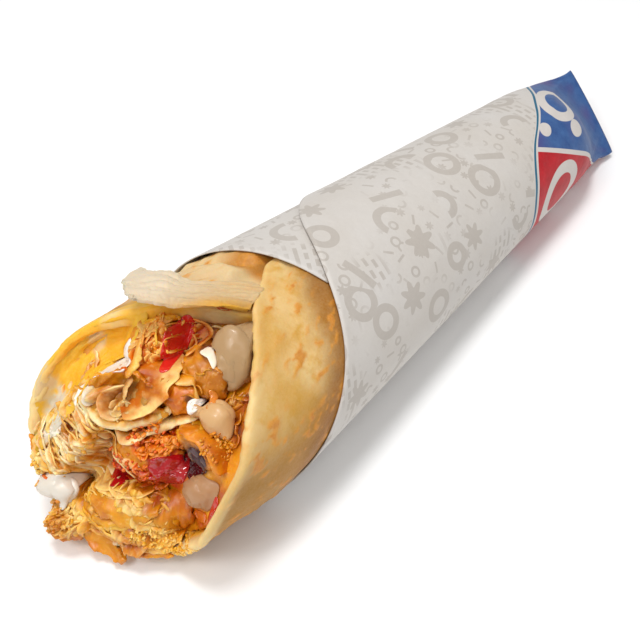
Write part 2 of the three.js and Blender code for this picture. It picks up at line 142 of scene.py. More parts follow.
# %% The mouth's frame
MOUTH_CENTRE = Vector((-3, 2, 29.4))
MOUTH_YAW, MOUTH_PITCH = math.radians(20.8), math.radians(36.9)
OUT = Vector((-math.cos(MOUTH_PITCH) * math.cos(MOUTH_YAW),
              -math.cos(MOUTH_PITCH) * math.sin(MOUTH_YAW), math.sin(MOUTH_PITCH)))
ACROSS = Vector((math.sin(MOUTH_YAW), -math.cos(MOUTH_YAW), 0))
UP = OUT.cross(ACROSS)


def in_mouth(across, up, out):
    """A place in the mouth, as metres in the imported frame."""
    return to_frame(MOUTH_CENTRE + ACROSS * across + UP * up + OUT * out)


def mouth_place(point):
    """The across, up and out, in millimetres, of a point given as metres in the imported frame."""
    away = point / MM - STATION - MOUTH_CENTRE
    return away.dot(ACROSS), away.dot(UP), away.dot(OUT)


print("mouth frame, out:", [round(v, 3) for v in OUT], "up:", [round(v, 3) for v in UP])

# %% [markdown]
# ## Small tools of the bench
# Everything starts from a primitive that is added with an operator, takes its shape by the maps
# above and is finished with modifiers. These helpers deselect, add a grid, apply a modifier and
# join pieces, so that each later step stays short.


# %% Bench helpers
def pick(piece):
    """Makes one piece the only selected and the active one."""
    bpy.ops.object.select_all(action="DESELECT")
    piece.select_set(True)
    bpy.context.view_layer.objects.active = piece


def new_grid(name, columns, rows):
    """A flat unit grid, ready to be wound or bent."""
    bpy.ops.object.select_all(action="DESELECT")
    bpy.ops.mesh.primitive_grid_add(x_subdivisions=columns, y_subdivisions=rows, size=1)
    grid = bpy.context.object
    grid.name = name
    grid.data.name = name
    return grid


def bent(grid, point, **notes):
    """Moves every vertex of a unit grid to point(u, v), with u and v from 0 to 1, and keeps named numbers."""
    places = [(vertex.co.x + 0.5, vertex.co.y + 0.5) for vertex in grid.data.vertices]
    for vertex, (u, v) in zip(grid.data.vertices, places):
        vertex.co = point(u, v)
    for name, value_at in notes.items():
        made = grid.data.attributes.new(name, "FLOAT", "POINT")
        made.data.foreach_set("value", [value_at(u, v) for u, v in places])
    return grid


def apply(piece, kind, **settings):
    """Adds a modifier with its settings and applies it."""
    pick(piece)
    made = piece.modifiers.new(kind.lower(), kind)
    for key, value in settings.items():
        setattr(made, key, value)
    bpy.ops.object.modifier_apply(modifier=made.name)
    return piece


def edit(piece, *steps):
    """Runs mesh operators on the whole of a piece in edit mode."""
    pick(piece)
    bpy.ops.object.mode_set(mode="EDIT")
    bpy.ops.mesh.select_all(action="SELECT")
    for operator, settings in steps:
        operator(**settings)
    bpy.ops.object.mode_set(mode="OBJECT")
    return piece


def joined(name, pieces):
    """Joins pieces into the first one."""
    pick(pieces[0])
    for piece in pieces[1:]:
        piece.select_set(True)
    bpy.ops.object.join()
    pieces[0].name = name
    pieces[0].data.name = name
    return pieces[0]


def smooth_faces(piece):
    """Shades a piece smooth."""
    pick(piece)
    bpy.ops.object.shade_smooth()
    return piece


def wave(a, b, c=0.0):
    """Smooth noise from about -1 to 1."""
    return noise.noise(Vector((a, b, c)))


def along(points, share):
    """A place part of the way along a smooth line through points."""
    at = share * (len(points) - 1)
    i = min(int(at), len(points) - 2)
    t = at - i
    p0, p1, p2, p3 = (points[min(max(k, 0), len(points) - 1)] for k in (i - 1, i, i + 1, i + 2))
    return [0.5 * (2 * b + (c - a) * t + (2 * a - 5 * b + 4 * c - d) * t * t + (3 * b - a - 3 * c + d) * t ** 3)
            for a, b, c, d in zip(p0, p1, p2, p3)]


# %% [markdown]
# ## Colours
# Colours are written as the hex values that a paint program shows and turned to linear light by one
# function. Food changes colour from place to place, so each piece carries a colour on its vertices,
# painted in soft fields, and its material adds the fine grain on top.


# %% Colour helpers
def linear(colour):
    """Linear red, green, blue and 1 from an sRGB hex value."""
    parts = [int(colour[i:i + 2], 16) / 255 for i in (1, 3, 5)]
    return [p / 12.92 if p <= 0.04045 else ((p + 0.055) / 1.055) ** 2.4 for p in parts] + [1.0]


def mixed(a, b, share):
    """A colour part of the way from a to b."""
    return [x + (y - x) * share for x, y in zip(a, b)]


def painted(piece, colour_at):
    """Stores a colour for every vertex, as the attribute tint."""
    tint = piece.data.color_attributes.new("tint", "FLOAT_COLOR", "POINT")
    for vertex, value in zip(piece.data.vertices, tint.data):
        value.color = colour_at(vertex.co)
    return piece


def measured(piece, name, value_at):
    """Stores a number for every vertex, as a named attribute."""
    made = piece.data.attributes.new(name, "FLOAT", "POINT")
    for vertex, value in zip(piece.data.vertices, made.data):
        value.value = value_at(vertex.co)
    return piece


def node(tree, kind, inputs=None, out=0, **settings):
    """Adds a shader node, sets it, links or sets its inputs and returns one of its outputs."""
    made = tree.nodes.new(kind)
    for key, value in settings.items():
        setattr(made, key, value)
    for key, value in (inputs or {}).items():
        if isinstance(value, bpy.types.NodeSocket):
            tree.links.new(value, made.inputs[key])
        else:
            made.inputs[key].default_value = value
    return made.outputs[out]


def new_material(name):
    """An empty node material with its output and its shader."""
    material = bpy.data.materials.new(name)
    material.use_nodes = True
    tree = material.node_tree
    tree.nodes.clear()
    surface = tree.nodes.new("ShaderNodeBsdfPrincipled")
    output = tree.nodes.new("ShaderNodeOutputMaterial")
    tree.links.new(surface.outputs[0], output.inputs[0])
    return material, tree, surface


# %% [markdown]
# ## The paper
# The wrapper is one sheet of greaseproof paper wound 1.3 turns, with its tail folded flat. A fine
# grid is wound by the roll's map and given its thickness with Solidify. Faint creases run along it
# and fade out at its front edge, where it lies close on the bread.

# %% Wind the paper
PAPER_THICKNESS = 0.35
PAPER_PITCH = 1.1
PAPER_WINDING = (-26, 450)
PAPER_EDGE = through([(-26, 50), (20, 42), (75, 31), (130, 21), (180, 12), (230, 14), (268, 28), (301, 40),
                      (344, 53), (384, 68), (420, 92), (450, 122)])
FOLD_INSET = 16


def paper_place(u, v):
    """Distance along the roll and winding angle of a place on the sheet."""
    winding = PAPER_WINDING[0] + u * (PAPER_WINDING[1] - PAPER_WINDING[0])
    start = PAPER_EDGE(winding)
    end = TAIL_END - FOLD_INSET * (1 - ease((winding - 60) / 30))
    share = v ** 0.92
    return start + share * (end - start), winding


def paper_point(u, v):
    x, winding = paper_place(u, v)
    depth = (PAPER_WINDING[1] - winding) / 360 * PAPER_PITCH + PAPER_THICKNESS / 2
    flat_u, flat_v = on_sheet(x, winding)
    foot = ease((abs(math.sin(math.radians(winding) / 2) ** 2 - 1) - 0.03) / 0.05)
    behind = ease((x - PAPER_EDGE(winding) - 2) / 10)
    crease = behind * (abs(wave(flat_u / 17, flat_v / 60, 2.1)) * 0.5 + abs(wave(flat_u / 6, flat_v / 30, 7.7)) * 0.18)
    tail = ease((x - 150) / 50)
    pleat = 1.5 * abs(wave(flat_u / 8, flat_v / 60, 4.4)) * tail * (1 - ease((x - 210) / 12))
    lifted = 0.08 * ease((PAPER_EDGE(winding) + 5 - x) / 5) + 0.8 * ease((winding - 442) / 8)
    depth += foot * (crease * 0.5 + pleat - 0.12) - lifted * foot
    return to_frame(on_roll(x, winding, depth, PAPER_THICKNESS / 2))


# The print, as millimetres on the flat sheet: where its border runs, and the line between its two fields.
PRINT_EDGE = through([(-26, 150), (60, 160), (150, 150), (200, 143), (258, 141.5), (281, 142), (300, 145.5),
                      (314, 149.5), (327, 155.5), (340, 164.5), (352, 171.5), (394, 190), (450, 206)])


def past_border(u, v):
    x, winding = paper_place(u, v)
    return x - PRINT_EDGE(winding)


def past_divide(u, v):
    flat_u, flat_v = on_sheet(*paper_place(u, v))
    return flat_v - 248.3 - 0.7 * (flat_u - 128.7)


paper = bent(new_grid("paper_case", 300, 160), paper_point,
             sheet_u=lambda u, v: on_sheet(*paper_place(u, v))[0],
             sheet_v=lambda u, v: on_sheet(*paper_place(u, v))[1],
             past_border=past_border, past_divide=past_divide)
edit(paper, (bpy.ops.mesh.normals_make_consistent, {"inside": False}))
apply(paper, "SOLIDIFY", thickness=PAPER_THICKNESS * MM, offset=0)
smooth_faces(paper)
print("paper faces:", len(paper.data.polygons), "z from", round(min(v.co.z for v in paper.data.vertices) / MM, 2))

# %% [markdown]
# ## The flatbread
# A soft flatbread about 2.6 mm thick goes just over once round the filling. Its section is one long
# loop: along the outside to the rim, round the rim and back along the inside. The rim is rolled
# thicker at the top, and the lower lip turns in over the filling. Baking leaves low blisters, which
# are also where the toasted spots are, so one noise drives both.

# %% Wind the bread
BREAD_DEPTH, BREAD_THICKNESS, BREAD_PITCH = 2.9, 2.6, 3.2
BREAD_WINDING = (-25, 364)
BREAD_TUCK = (6, 84)
BREAD_EDGE = through([(-25, 30), (7, 20), (26, 12), (48, 4), (66, -3.5), (83, -12), (96, -17), (111, -20.7),
                      (135, -24), (160, -23), (190, -20), (215, -17.5), (244, -16.5), (267, -12.5), (279, -8.5),
                      (287, -4.5), (302, 2.5), (320, 13), (344, 26.5), (364, 42)])
BREAD_END = 168
RIM_DEPTH, RIM_BULGE = 13, 3.6
LIP_DEPTH, LIP_TURN_IN = 26, 2.6
# Distances from the rim at which the bread has a row of points: close at the rim, wide where it is hidden.
BREAD_ROWS = ([0, 0.25, 0.6, 1.0, 1.5] + [2.2 + 0.8 * i for i in range(56)] + [50, 56, 64, 76, 95])


def bread_place(u, v):
    """Winding angle, distance from the rim and side (0 outside, 1 inside) of a place in the bread's loop."""
    winding = BREAD_WINDING[0] + u * (BREAD_WINDING[1] - BREAD_WINDING[0])
    last = len(BREAD_ROWS)
    row = round(v * 2 * last)
    side = 0 if row <= last else 1
    index = abs(row - last)
    distance = BREAD_ROWS[index] if index < last else BREAD_END - BREAD_EDGE(winding)
    return winding, distance, side


def toast(winding, distance):
    """How browned the bread is at a place, from 0 to 1."""
    across, along = winding * 0.62, distance
    cluster = ease((wave(across / 9, along / 11, 8.8) + 0.3) / 0.45)
    uneven = (wave(across / 3.4, along / 4.2, 3.3) + 0.6 * wave(across / 1.7, along / 2.0, 6.1)
              + 0.3 * wave(across / 0.9, along / 1.0, 1.7))
    blot = ease((uneven - 0.12) / 0.42)
    return min(1, blot * (0.18 + 0.82 * cluster) + 0.12 * cluster)


def under_paper(winding):
    """The least depth at which the bread stays clear of the paper's inner side."""
    layer = PAPER_WINDING[1] - (winding - 360 * ease((winding - 300) / 34))
    return layer / 360 * PAPER_PITCH + PAPER_THICKNESS + 0.4


def to_paper(winding, distance):
    """How far in front of the paper's front edge a place on the bread lies."""
    return PAPER_EDGE(winding) - BREAD_EDGE(winding) - distance


def bread_point(u, v):
    winding, distance, side = bread_place(u, v)
    flap = ease((winding - 290) / 20)
    ragged = (0.7 + 0.5 * flap) * wave(winding / 9, 0.3, 6.1) + (0.35 + 0.3 * flap) * wave(winding / 3.1, 1.9, 2.2)
    rolled = RIM_BULGE * ease((70 - winding) / 45) * (1 - ease((distance - 4) / RIM_DEPTH))
    rounding = math.sqrt(max(0, 1 - max(0, 1 - distance / 2.2) ** 2))
    open_end = 1 - ease((distance - 40) / 14)
    blister = 0.5 * (1 - ease((distance - 16) / 14)) * wave(winding / 21, distance / 7, 3.7)
    skin = open_end * (0.55 * toast(winding, distance) + 0.35 * wave(winding / 8, distance / 6, 1.1)
                       + 0.12 * wave(winding / 2.2, distance / 1.7, 5.0))
    half = BREAD_THICKNESS / 2 * (0.1 + 0.9 * rounding)
    tucked = 1 - ease((winding - BREAD_TUCK[0]) / (BREAD_TUCK[1] - BREAD_TUCK[0]))
    lip = LIP_TURN_IN * ease((winding - 205) / 35) * ease((292 - winding) / 25)
    middle = (BREAD_DEPTH + BREAD_PITCH * tucked + BREAD_THICKNESS / 2 + blister
              + lip * (1 - ease(distance / LIP_DEPTH)))
    depth = middle + (half + rolled - skin * 0.6 if side else -half - skin * 0.6)
    if not side:
        # The outside swells up to the paper that holds it, in folds where the inner end comes out on top.
        near_top = ease((winding - 5) / 8) * ease((75 - winding) / 30)
        swell = ease((distance - 5) / (16 if near_top else 30)) * (1 if winding > 100 else near_top)
        folds = (1.3 * wave(winding / 16 + distance / 22, distance / 3.4, 7.2)
                 + 0.7 * wave(winding / 7, distance / 1.7, 2.9))
        valley = 1.8 * near_top * ease((9 - to_paper(winding, distance)) / 5) * ease(to_paper(winding, distance) / 4)
        gap = to_paper(winding, distance)
        skin *= ease((gap + 1) / 4)
        close = 0.35 * ease((gap + 8) / 6) * ease((14 - gap) / 8)
        target = under_paper(winding) - close + near_top * (0.7 + folds * open_end + valley) - skin * 0.4
        depth += (target - depth) * swell
    return to_frame(on_roll(BREAD_EDGE(winding) + distance + ragged * open_end, winding, depth))


bread = bent(new_grid("bread_sheet", 330, 2 * len(BREAD_ROWS)), bread_point,
             winding=lambda u, v: bread_place(u, v)[0], from_rim=lambda u, v: bread_place(u, v)[1],
             inner=lambda u, v: bread_place(u, v)[2], toast=lambda u, v: toast(*bread_place(u, v)[:2]),
             to_paper=lambda u, v: to_paper(*bread_place(u, v)[:2]), milk=lambda u, v: 0)
edit(bread, (bpy.ops.mesh.remove_doubles, {"threshold": 0.01 * MM}),
     (bpy.ops.mesh.select_all, {"action": "DESELECT"}), (bpy.ops.mesh.select_non_manifold, {}),
     (bpy.ops.mesh.fill, {"use_beauty": False}), (bpy.ops.mesh.select_all, {"action": "SELECT"}),
     (bpy.ops.mesh.normals_make_consistent, {"inside": False}))
smooth_faces(bread)
print("bread faces:", len(bread.data.polygons))

# %% [markdown]
# ## The torn tongue
# Over the top of the mouth a broad torn strip of bread lies along the rim, with its ragged tip in the
# air. It is a thin sheet between two lines on the roll, each given by distance along it, winding and
# depth: one along the rim and one behind it. It is pale, creased lengthways and torn at its end.

# %% Tear the tongue
TONGUE_FRONT = [(26.5, -13, 4.4), (19.5, -4, 2.4), (12, 2.5, 0.0), (7.4, 6.5, -1.8), (4.6, 12, -2.4), (3.6, 15, -2.8)]
TONGUE_BACK = [(38, -7, 4.6), (30, 3, 2.6), (21.5, 11, 0.2), (18.6, 20, -2.4), (16.4, 27, -3.0), (17.8, 36, -3.2)]
TONGUE_THICKNESS = 1.3


def tongue_point(u, v):
    x, winding, depth = [p + (q - p) * v for p, q in zip(along(TONGUE_FRONT, u), along(TONGUE_BACK, u))]
    tip = ease(u * 3 - 2)
    x -= 3.4 * math.sin(math.pi * v) * tip + (0.9 * wave(v * 9, 3.3, 1.2) + 0.7 * wave(v * 19, 5.1, 4.2)) * tip
    x += 0.7 * wave(u * 8, v * 2, 8.1) + 0.4 * wave(u * 21, v * 3, 2.2)
    crease = 0.55 * wave(u * 3.2, v * 5.5, 9.2) + 0.3 * wave(u * 6, v * 13, 4.1) + 0.12 * wave(u * 30, v * 12, 1.1)
    return to_frame(on_roll(x, winding, depth - 0.3 + crease * (1.4 - 0.9 * tip) - 0.8 * math.sin(math.pi * v)))


tongue = bent(new_grid("bread_tongue", 110, 40), tongue_point,
              winding=lambda u, v: -20, from_rim=lambda u, v: 8 + 10 * v, inner=lambda u, v: 0,
              toast=lambda u, v: (1 - ease(u * 1.6)) * (0.1 + 0.5 * max(0, wave(u * 7, v * 9, 2.2))),
              to_paper=lambda u, v: 30, milk=lambda u, v: 0.75 * ease(u * 1.7 - 0.2))
edit(tongue, (bpy.ops.mesh.normals_make_consistent, {"inside": False}))
apply(tongue, "SOLIDIFY", thickness=TONGUE_THICKNESS * 0.8 * MM, offset=0)
apply(tongue, "BEVEL", width=0.3 * MM, segments=2, limit_method="ANGLE", angle_limit=math.radians(50))
smooth_faces(tongue)
print("tongue faces:", len(tongue.data.polygons))

# %% [markdown]
# ## The chicken's body
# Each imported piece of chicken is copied, its loose triangles are merged, and a voxel remesh gives it
# an even skin. Two displacements then raise the crags of the fried coat: clouds for the lumps and
# ridges for the crisp edges. The long core is cut in two, because only its front end shows.

# %% Relief textures
lumps = bpy.data.textures.new("coat_lumps", "CLOUDS")
lumps.noise_scale = 5.5 * MM
lumps.noise_depth = 2
ridges = bpy.data.textures.new("coat_ridges", "MUSGRAVE")
ridges.musgrave_type = "RIDGED_MULTIFRACTAL"
ridges.noise_scale = 2.6 * MM
ridges.octaves = 3


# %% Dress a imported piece
def copied(node_name, name):
    """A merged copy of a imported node, ready to be reshaped."""
    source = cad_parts[node_name]
    piece = bpy.data.objects.new(name, source.data.copy())
    bpy.context.scene.collection.objects.link(piece)
    piece.data.name = name
    piece.data.materials.clear()
    return edit(piece, (bpy.ops.mesh.remove_doubles, {"threshold": 0.01 * MM}))


def coated(piece, voxel=0.55, rise=1.3, edge=0.5):
    """Remeshes a piece and raises the relief of its coat, in millimetres."""
    apply(piece, "REMESH", mode="VOXEL", voxel_size=voxel * MM)
    apply(piece, "DISPLACE", texture=lumps, strength=rise * MM, mid_level=0.5, texture_coords="LOCAL")
    apply(piece, "DISPLACE", texture=ridges, strength=edge * MM, mid_level=0.6, texture_coords="LOCAL")
    return smooth_faces(piece)


core = copied("chicken_core", "chicken_filling")
core_back = copied("chicken_core", "chicken_filling_back")
CORE_CUT = to_frame(Vector((34, 0, 0)))
edit(core, (bpy.ops.mesh.bisect, {"plane_co": CORE_CUT, "plane_no": (1, 0, 0), "use_fill": True,
                                  "clear_outer": True}))
edit(core_back, (bpy.ops.mesh.bisect, {"plane_co": CORE_CUT, "plane_no": (1, 0, 0), "use_fill": True,
                                       "clear_inner": True}))
coated(core, voxel=0.8, rise=0.8, edge=0.25)
core_back = smooth_faces(core_back)
LUMPS = ["chicken_top", "chicken_right", "chicken_middle", "chicken_arm", "chicken_sauced", "chicken_lower",
         "chicken_corner", "layered_crust", "curled_crust"]
body = {name: coated(copied(name, name.replace("chicken_", "fried_") + "_dressed")) for name in LUMPS}
print("chicken faces:", {name: len(piece.data.polygons) for name, piece in body.items()})


def melted(node_name, name, voxel=0.5):
    """A packed pool of sauce as a smooth body without facets."""
    piece = copied(node_name, name)
    apply(piece, "REMESH", mode="VOXEL", voxel_size=voxel * MM)
    apply(piece, "SMOOTH", factor=0.6, iterations=14)
    return apply(piece, "DISPLACE", texture=lumps, strength=0.7 * MM, mid_level=0.42, texture_coords="LOCAL")


MELTED = ["white_sauce_corner", "white_sauce_right", "white_sauce_lower", "white_sauce_slice"]
melts = {name: melted(name, name.replace("white_sauce", "garlic_body").replace("red_sauce", "chilli_body"))
         for name in MELTED}

# %% [markdown]
# ## What lies on what
# Leaves, crumbs and sauces lie on what carries them. A tree of all the faces so far answers one
# question: how far out of the mouth is the surface at a place across and up it?

# %% Find the surface
carriers = [core, bread, *body.values()]


def surface_tree(pieces):
    """A search tree over the faces of several pieces."""
    points, faces = [], []
    for piece in pieces:
        start = len(points)
        points += [vertex.co.copy() for vertex in piece.data.vertices]
        faces += [[start + i for i in face.vertices] for face in piece.data.polygons]
    return BVHTree.FromPolygons(points, faces)


OFF_EDGE = -4.0


def landing(tree, across, up, spread=0.0):
    """How far out the surface lies at a place in the mouth, evened over a spread in millimetres."""
    found = []
    for da, du in [(0, 0), (1, 0), (-1, 0), (0, 1), (0, -1)] if spread else [(0, 0)]:
        hit = tree.ray_cast(in_mouth(across + da * spread, up + du * spread, 30), -OUT)[0]
        if hit is not None:
            out = mouth_place(hit)[2]
            if out > -16:
                found.append(out)
    return sum(found) / len(found) if found else OFF_EDGE


ground = surface_tree(carriers)
print("surface at the mouth's middle, mm out:", round(landing(ground, 0, 0), 1))

# %% [markdown]
# ## Crust leaves
# The fried coat breaks into thin curled leaves: flat sheets that are rooted in the chicken, stand up
# and roll over. One leaf is a small grid bent between two curves, the line where it is rooted and
# the line of its free edge, which stands off by a lift. It ruffles towards the free edge, gets its
# thickness with Solidify and is rounded with one subdivision.


# %% Bend one leaf
leaf_count = 0


def leaf(root, edge, lift, bulge=0.6, ruffle=0.5, thick=0.55, cells=(14, 4), sink=0.7, colours=None, ends=0.5,
         smooth=1.0, jag=0.2):
    """A crust leaf between its root line and its free edge, both as places across and up the mouth."""
    global leaf_count
    leaf_count += 1
    seed = leaf_count * 1.37
    lifts = lift if isinstance(lift, tuple) else (lift, lift)
    base = [landing(ground, *along(root, i / cells[0]), smooth) - sink for i in range(cells[0] + 1)]
    top = [landing(ground, *along(edge, i / cells[0]), smooth) for i in range(cells[0] + 1)]
    top = [sum(top[max(0, i - 2):i + 3]) / len(top[max(0, i - 2):i + 3]) for i in range(len(top))]

    def point(u, v):
        i = round(u * cells[0])
        ra, ru = along(root, u)
        ea, eu = along(edge, u)
        close = 1 - ends * (abs(2 * u - 1) ** 4)
        wavy = ruffle * (1.3 * wave(u * 4.5, seed, 0.2) + 0.9 * wave(u * 10, seed, 3.1)
                         + 0.45 * wave(u * 24, v * 2, seed)) * v ** 1.5
        torn = 1 + jag * (wave(u * 8, seed, 5.5) + 0.8 * wave(u * 21, seed, 8.8)) * v
        reach = v * close * torn
        a = ra + (ea - ra) * reach + wavy * 0.5
        h = ru + (eu - ru) * reach + wavy * 0.5
        rise = (lifts[0] + (lifts[1] - lifts[0]) * u) * math.sin(min(1, v * 1.05) * math.pi / 2) * close
        grain = 0.16 * wave(a / 0.9, h / 0.9, seed)
        out = base[i] + (top[i] - base[i]) * v + rise + bulge * math.sin(v * math.pi) + wavy + grain
        return in_mouth(a, h, out)

    root_colour, edge_colour = (linear(c) for c in (colours or ("#cf8130", "#f2d096")))
    piece = bent(new_grid("leaf", *cells), point, rise=lambda u, v: v)
    tint = piece.data.color_attributes.new("tint", "FLOAT_COLOR", "POINT")
    shade = 0.3 * wave(seed, 0.2)
    for vertex, value, share in zip(piece.data.vertices, tint.data, piece.data.attributes["rise"].data):
        spot = 0.45 * wave(vertex.co.x / MM / 1.7, vertex.co.y / MM / 1.7, vertex.co.z / MM / 1.7)
        value.color = mixed(root_colour, edge_colour, ease(share.value ** 1.6 * 1.1 + 0.1 + shade + spot))
    apply(piece, "SOLIDIFY", thickness=thick * MM, offset=0)
    apply(piece, "SUBSURF", levels=1, render_levels=1)
    return piece


def shifted(points, da, du):
    """The same line of places moved across and up."""
    return [(a + da, u + du) for a, u in points]


def between(first, second, share, count=5):
    """A line of places part of the way between two lines."""
    return [tuple(p + (q - p) * share for p, q in zip(along(first, i / (count - 1)), along(second, i / (count - 1))))
            for i in range(count)]


print("leaf helper ready")

# %% [markdown]
# ## The big leaves
# These are the leaves that give the mouth its look, each placed where the real one lies: a curled
# shell in the middle, a tall petal above it, two pale ribbons below it and a fan of thin layers on
# the left.

# %% Colours of the crust
CREAM, GOLD, AMBER, RUST, TAN = "#f3dcae", "#e9bb6c", "#dd9638", "#b96a24", "#cb965a"
PALE = "#f7e9cc"

# %% Shell, petals and ribbons
shell = [
    leaf([(-3.0, 24.0), (-4.4, 18.6), (-4.2, 13.4), (-5.0, 9.6), (-6.4, 7.0)],
         [(1.0, 23.2), (7.6, 20.8), (8.2, 15.2), (4.4, 9.0), (-1.8, 4.6)], (1.6, 3.6), bulge=-0.5, ruffle=0.4,
         cells=(40, 10), ends=0.12, jag=0.1, colours=("#bd6222", "#fbd08e")),
    leaf([(-4.6, 12.2), (-7, 10), (-7.7, 7.6), (-6.8, 6.2), (-4.2, 6.4)],
         [(-5.6, 13.6), (-9.6, 10.8), (-11, 7.4), (-9, 4.0), (-4.4, 3.0)], 3.4, bulge=-0.6, ruffle=0.4,
         cells=(28, 7), colours=("#a9713c", "#efcf98")),
    leaf([(-6, 16.8), (-7.4, 12.6), (-10.2, 8.6)], [(-13.4, 15.4), (-16.2, 10.4), (-14.4, 4.6)], 2.6,
         bulge=0.9, ruffle=0.5, cells=(26, 8), colours=("#dca65a", "#f4dfb0")),
    leaf([(-12.6, 13.6), (-12.9, 10), (-12.2, 6)], [(-14.8, 13.6), (-15.4, 9.8), (-14.4, 4.8)], 3.4,
         bulge=0.3, ruffle=0.3, colours=("#e8c78c", "#fbf3e2")),
    leaf([(-5.0, 24.4), (-5.6, 20), (-5.2, 15.4)], [(-3.0, 24.8), (-2.2, 20.2), (-2.6, 16.0)], 2.4, bulge=0.8,
         ruffle=0.4, cells=(26, 8), colours=("#dd8f3c", "#f4c878")),
    leaf([(-4.4, 16), (-6.2, 12.2), (-5.2, 9.4)], [(-1.4, 15.2), (-3.6, 12), (-2.8, 9.8)], 3.0, bulge=0.5,
         colours=("#a7713f", "#dcb27a")),
]
ribbons = [
    leaf([(-13.6, 5.4), (-8.6, 3.6), (-2.8, 4.6), (3.6, 7.8), (7.2, 11)],
         [(-14.4, 2.8), (-9.2, 1.0), (-2.6, 1.8), (4.6, 5.2), (8.6, 8.8)], 2.4, bulge=1.0, ruffle=0.35,
         cells=(34, 7), thick=0.8, colours=("#e3ad5c", "#fae6bb")),
    leaf([(-7.8, 1.4), (-2.2, 0.8), (2.7, 4.0), (7.6, 7.4), (14.6, 10.2)],
         [(-8.2, -1.6), (-2.0, -2.4), (3.3, 1.2), (8.4, 4.6), (15.6, 8.4)], 2.4, bulge=0.9, ruffle=0.4,
         cells=(36, 7), thick=0.8, colours=("#e0a653", "#f8dfae")),
    leaf([(7.4, 18.6), (11.4, 19.8), (12.6, 16), (13.4, 11.6)], [(8.6, 15.4), (12.6, 17.8), (14.2, 15.2), (14.6, 11)],
         1.8, bulge=0.6, colours=("#d98a38", "#eec07c")),
]
print("shell and ribbons:", len(shell) + len(ribbons))

# %% The fan of layers on the left
# The fan lies between a line near the shell and a line near the corner. Feathers are laid row by row
# between them, each a little off its place, so that they overlap like slates.
def feathers(first, last, rows, steps, heading, colours, half=(2.6, 5.2), wide=(1.6, 3.4), lift=(1.4, 3.6), bend=18):
    """Rows of torn leaves between two lines in the mouth, from the last line to the first."""
    made = []
    for row in range(rows):
        line = between(first, last, 1 - row / (rows - 1))
        for step in range(steps):
            share = (step + random.uniform(0.1, 0.9)) / steps
            a, u = along(line, share)
            turn = math.radians(heading + bend * (share - 0.5) + random.gauss(0, 13))
            long, broad, bow = random.uniform(*half), random.uniform(*wide), random.uniform(-0.5, 0.9)
            da, du = long * math.cos(turn), long * math.sin(turn)
            na, nu = math.sin(turn) * broad, -math.cos(turn) * broad
            root = [(a - da, u - du), (a - da / 2 + na * bow * 0.3, u - du / 2 + nu * bow * 0.3),
                    (a + na * bow * 0.4, u + nu * bow * 0.4), (a + da, u + du)]
            edge = shifted(root, na, nu)
            if random.random() < 0.3:
                root, edge = edge, root
            if OFF_EDGE in (landing(ground, *root[0]), landing(ground, *edge[-1])):
                continue
            made.append(leaf(root, edge, (random.uniform(*lift), 0.6 * random.uniform(*lift)), bulge=0.3, ruffle=0.75,
                             thick=0.45, cells=(18, 5), ends=0.85, jag=0.3,
                             colours=(random.choice(colours[0]), random.choice(colours[1]))))
    return made


ROOTS, EDGES = ("#f0ac5a", "#f2b460", "#e69c4c"), (CREAM, "#f0cf90", "#f3deb2", "#eec680")
random.seed(4)
fan = feathers([(-16.8, 11.4), (-13.6, 4.8), (-10.8, 0.6), (-7.4, -2.4), (-3.4, -6.2)],
               [(-30.0, -9.4), (-27.0, -12.6), (-23.8, -15.2), (-19.6, -16.2), (-13.6, -16.4)], 16, 4, -46,
               (ROOTS, EDGES), half=(3.8, 7.4), wide=(1.3, 2.6), lift=(1.6, 3.4), bend=30)
print("fan layers:", len(fan))

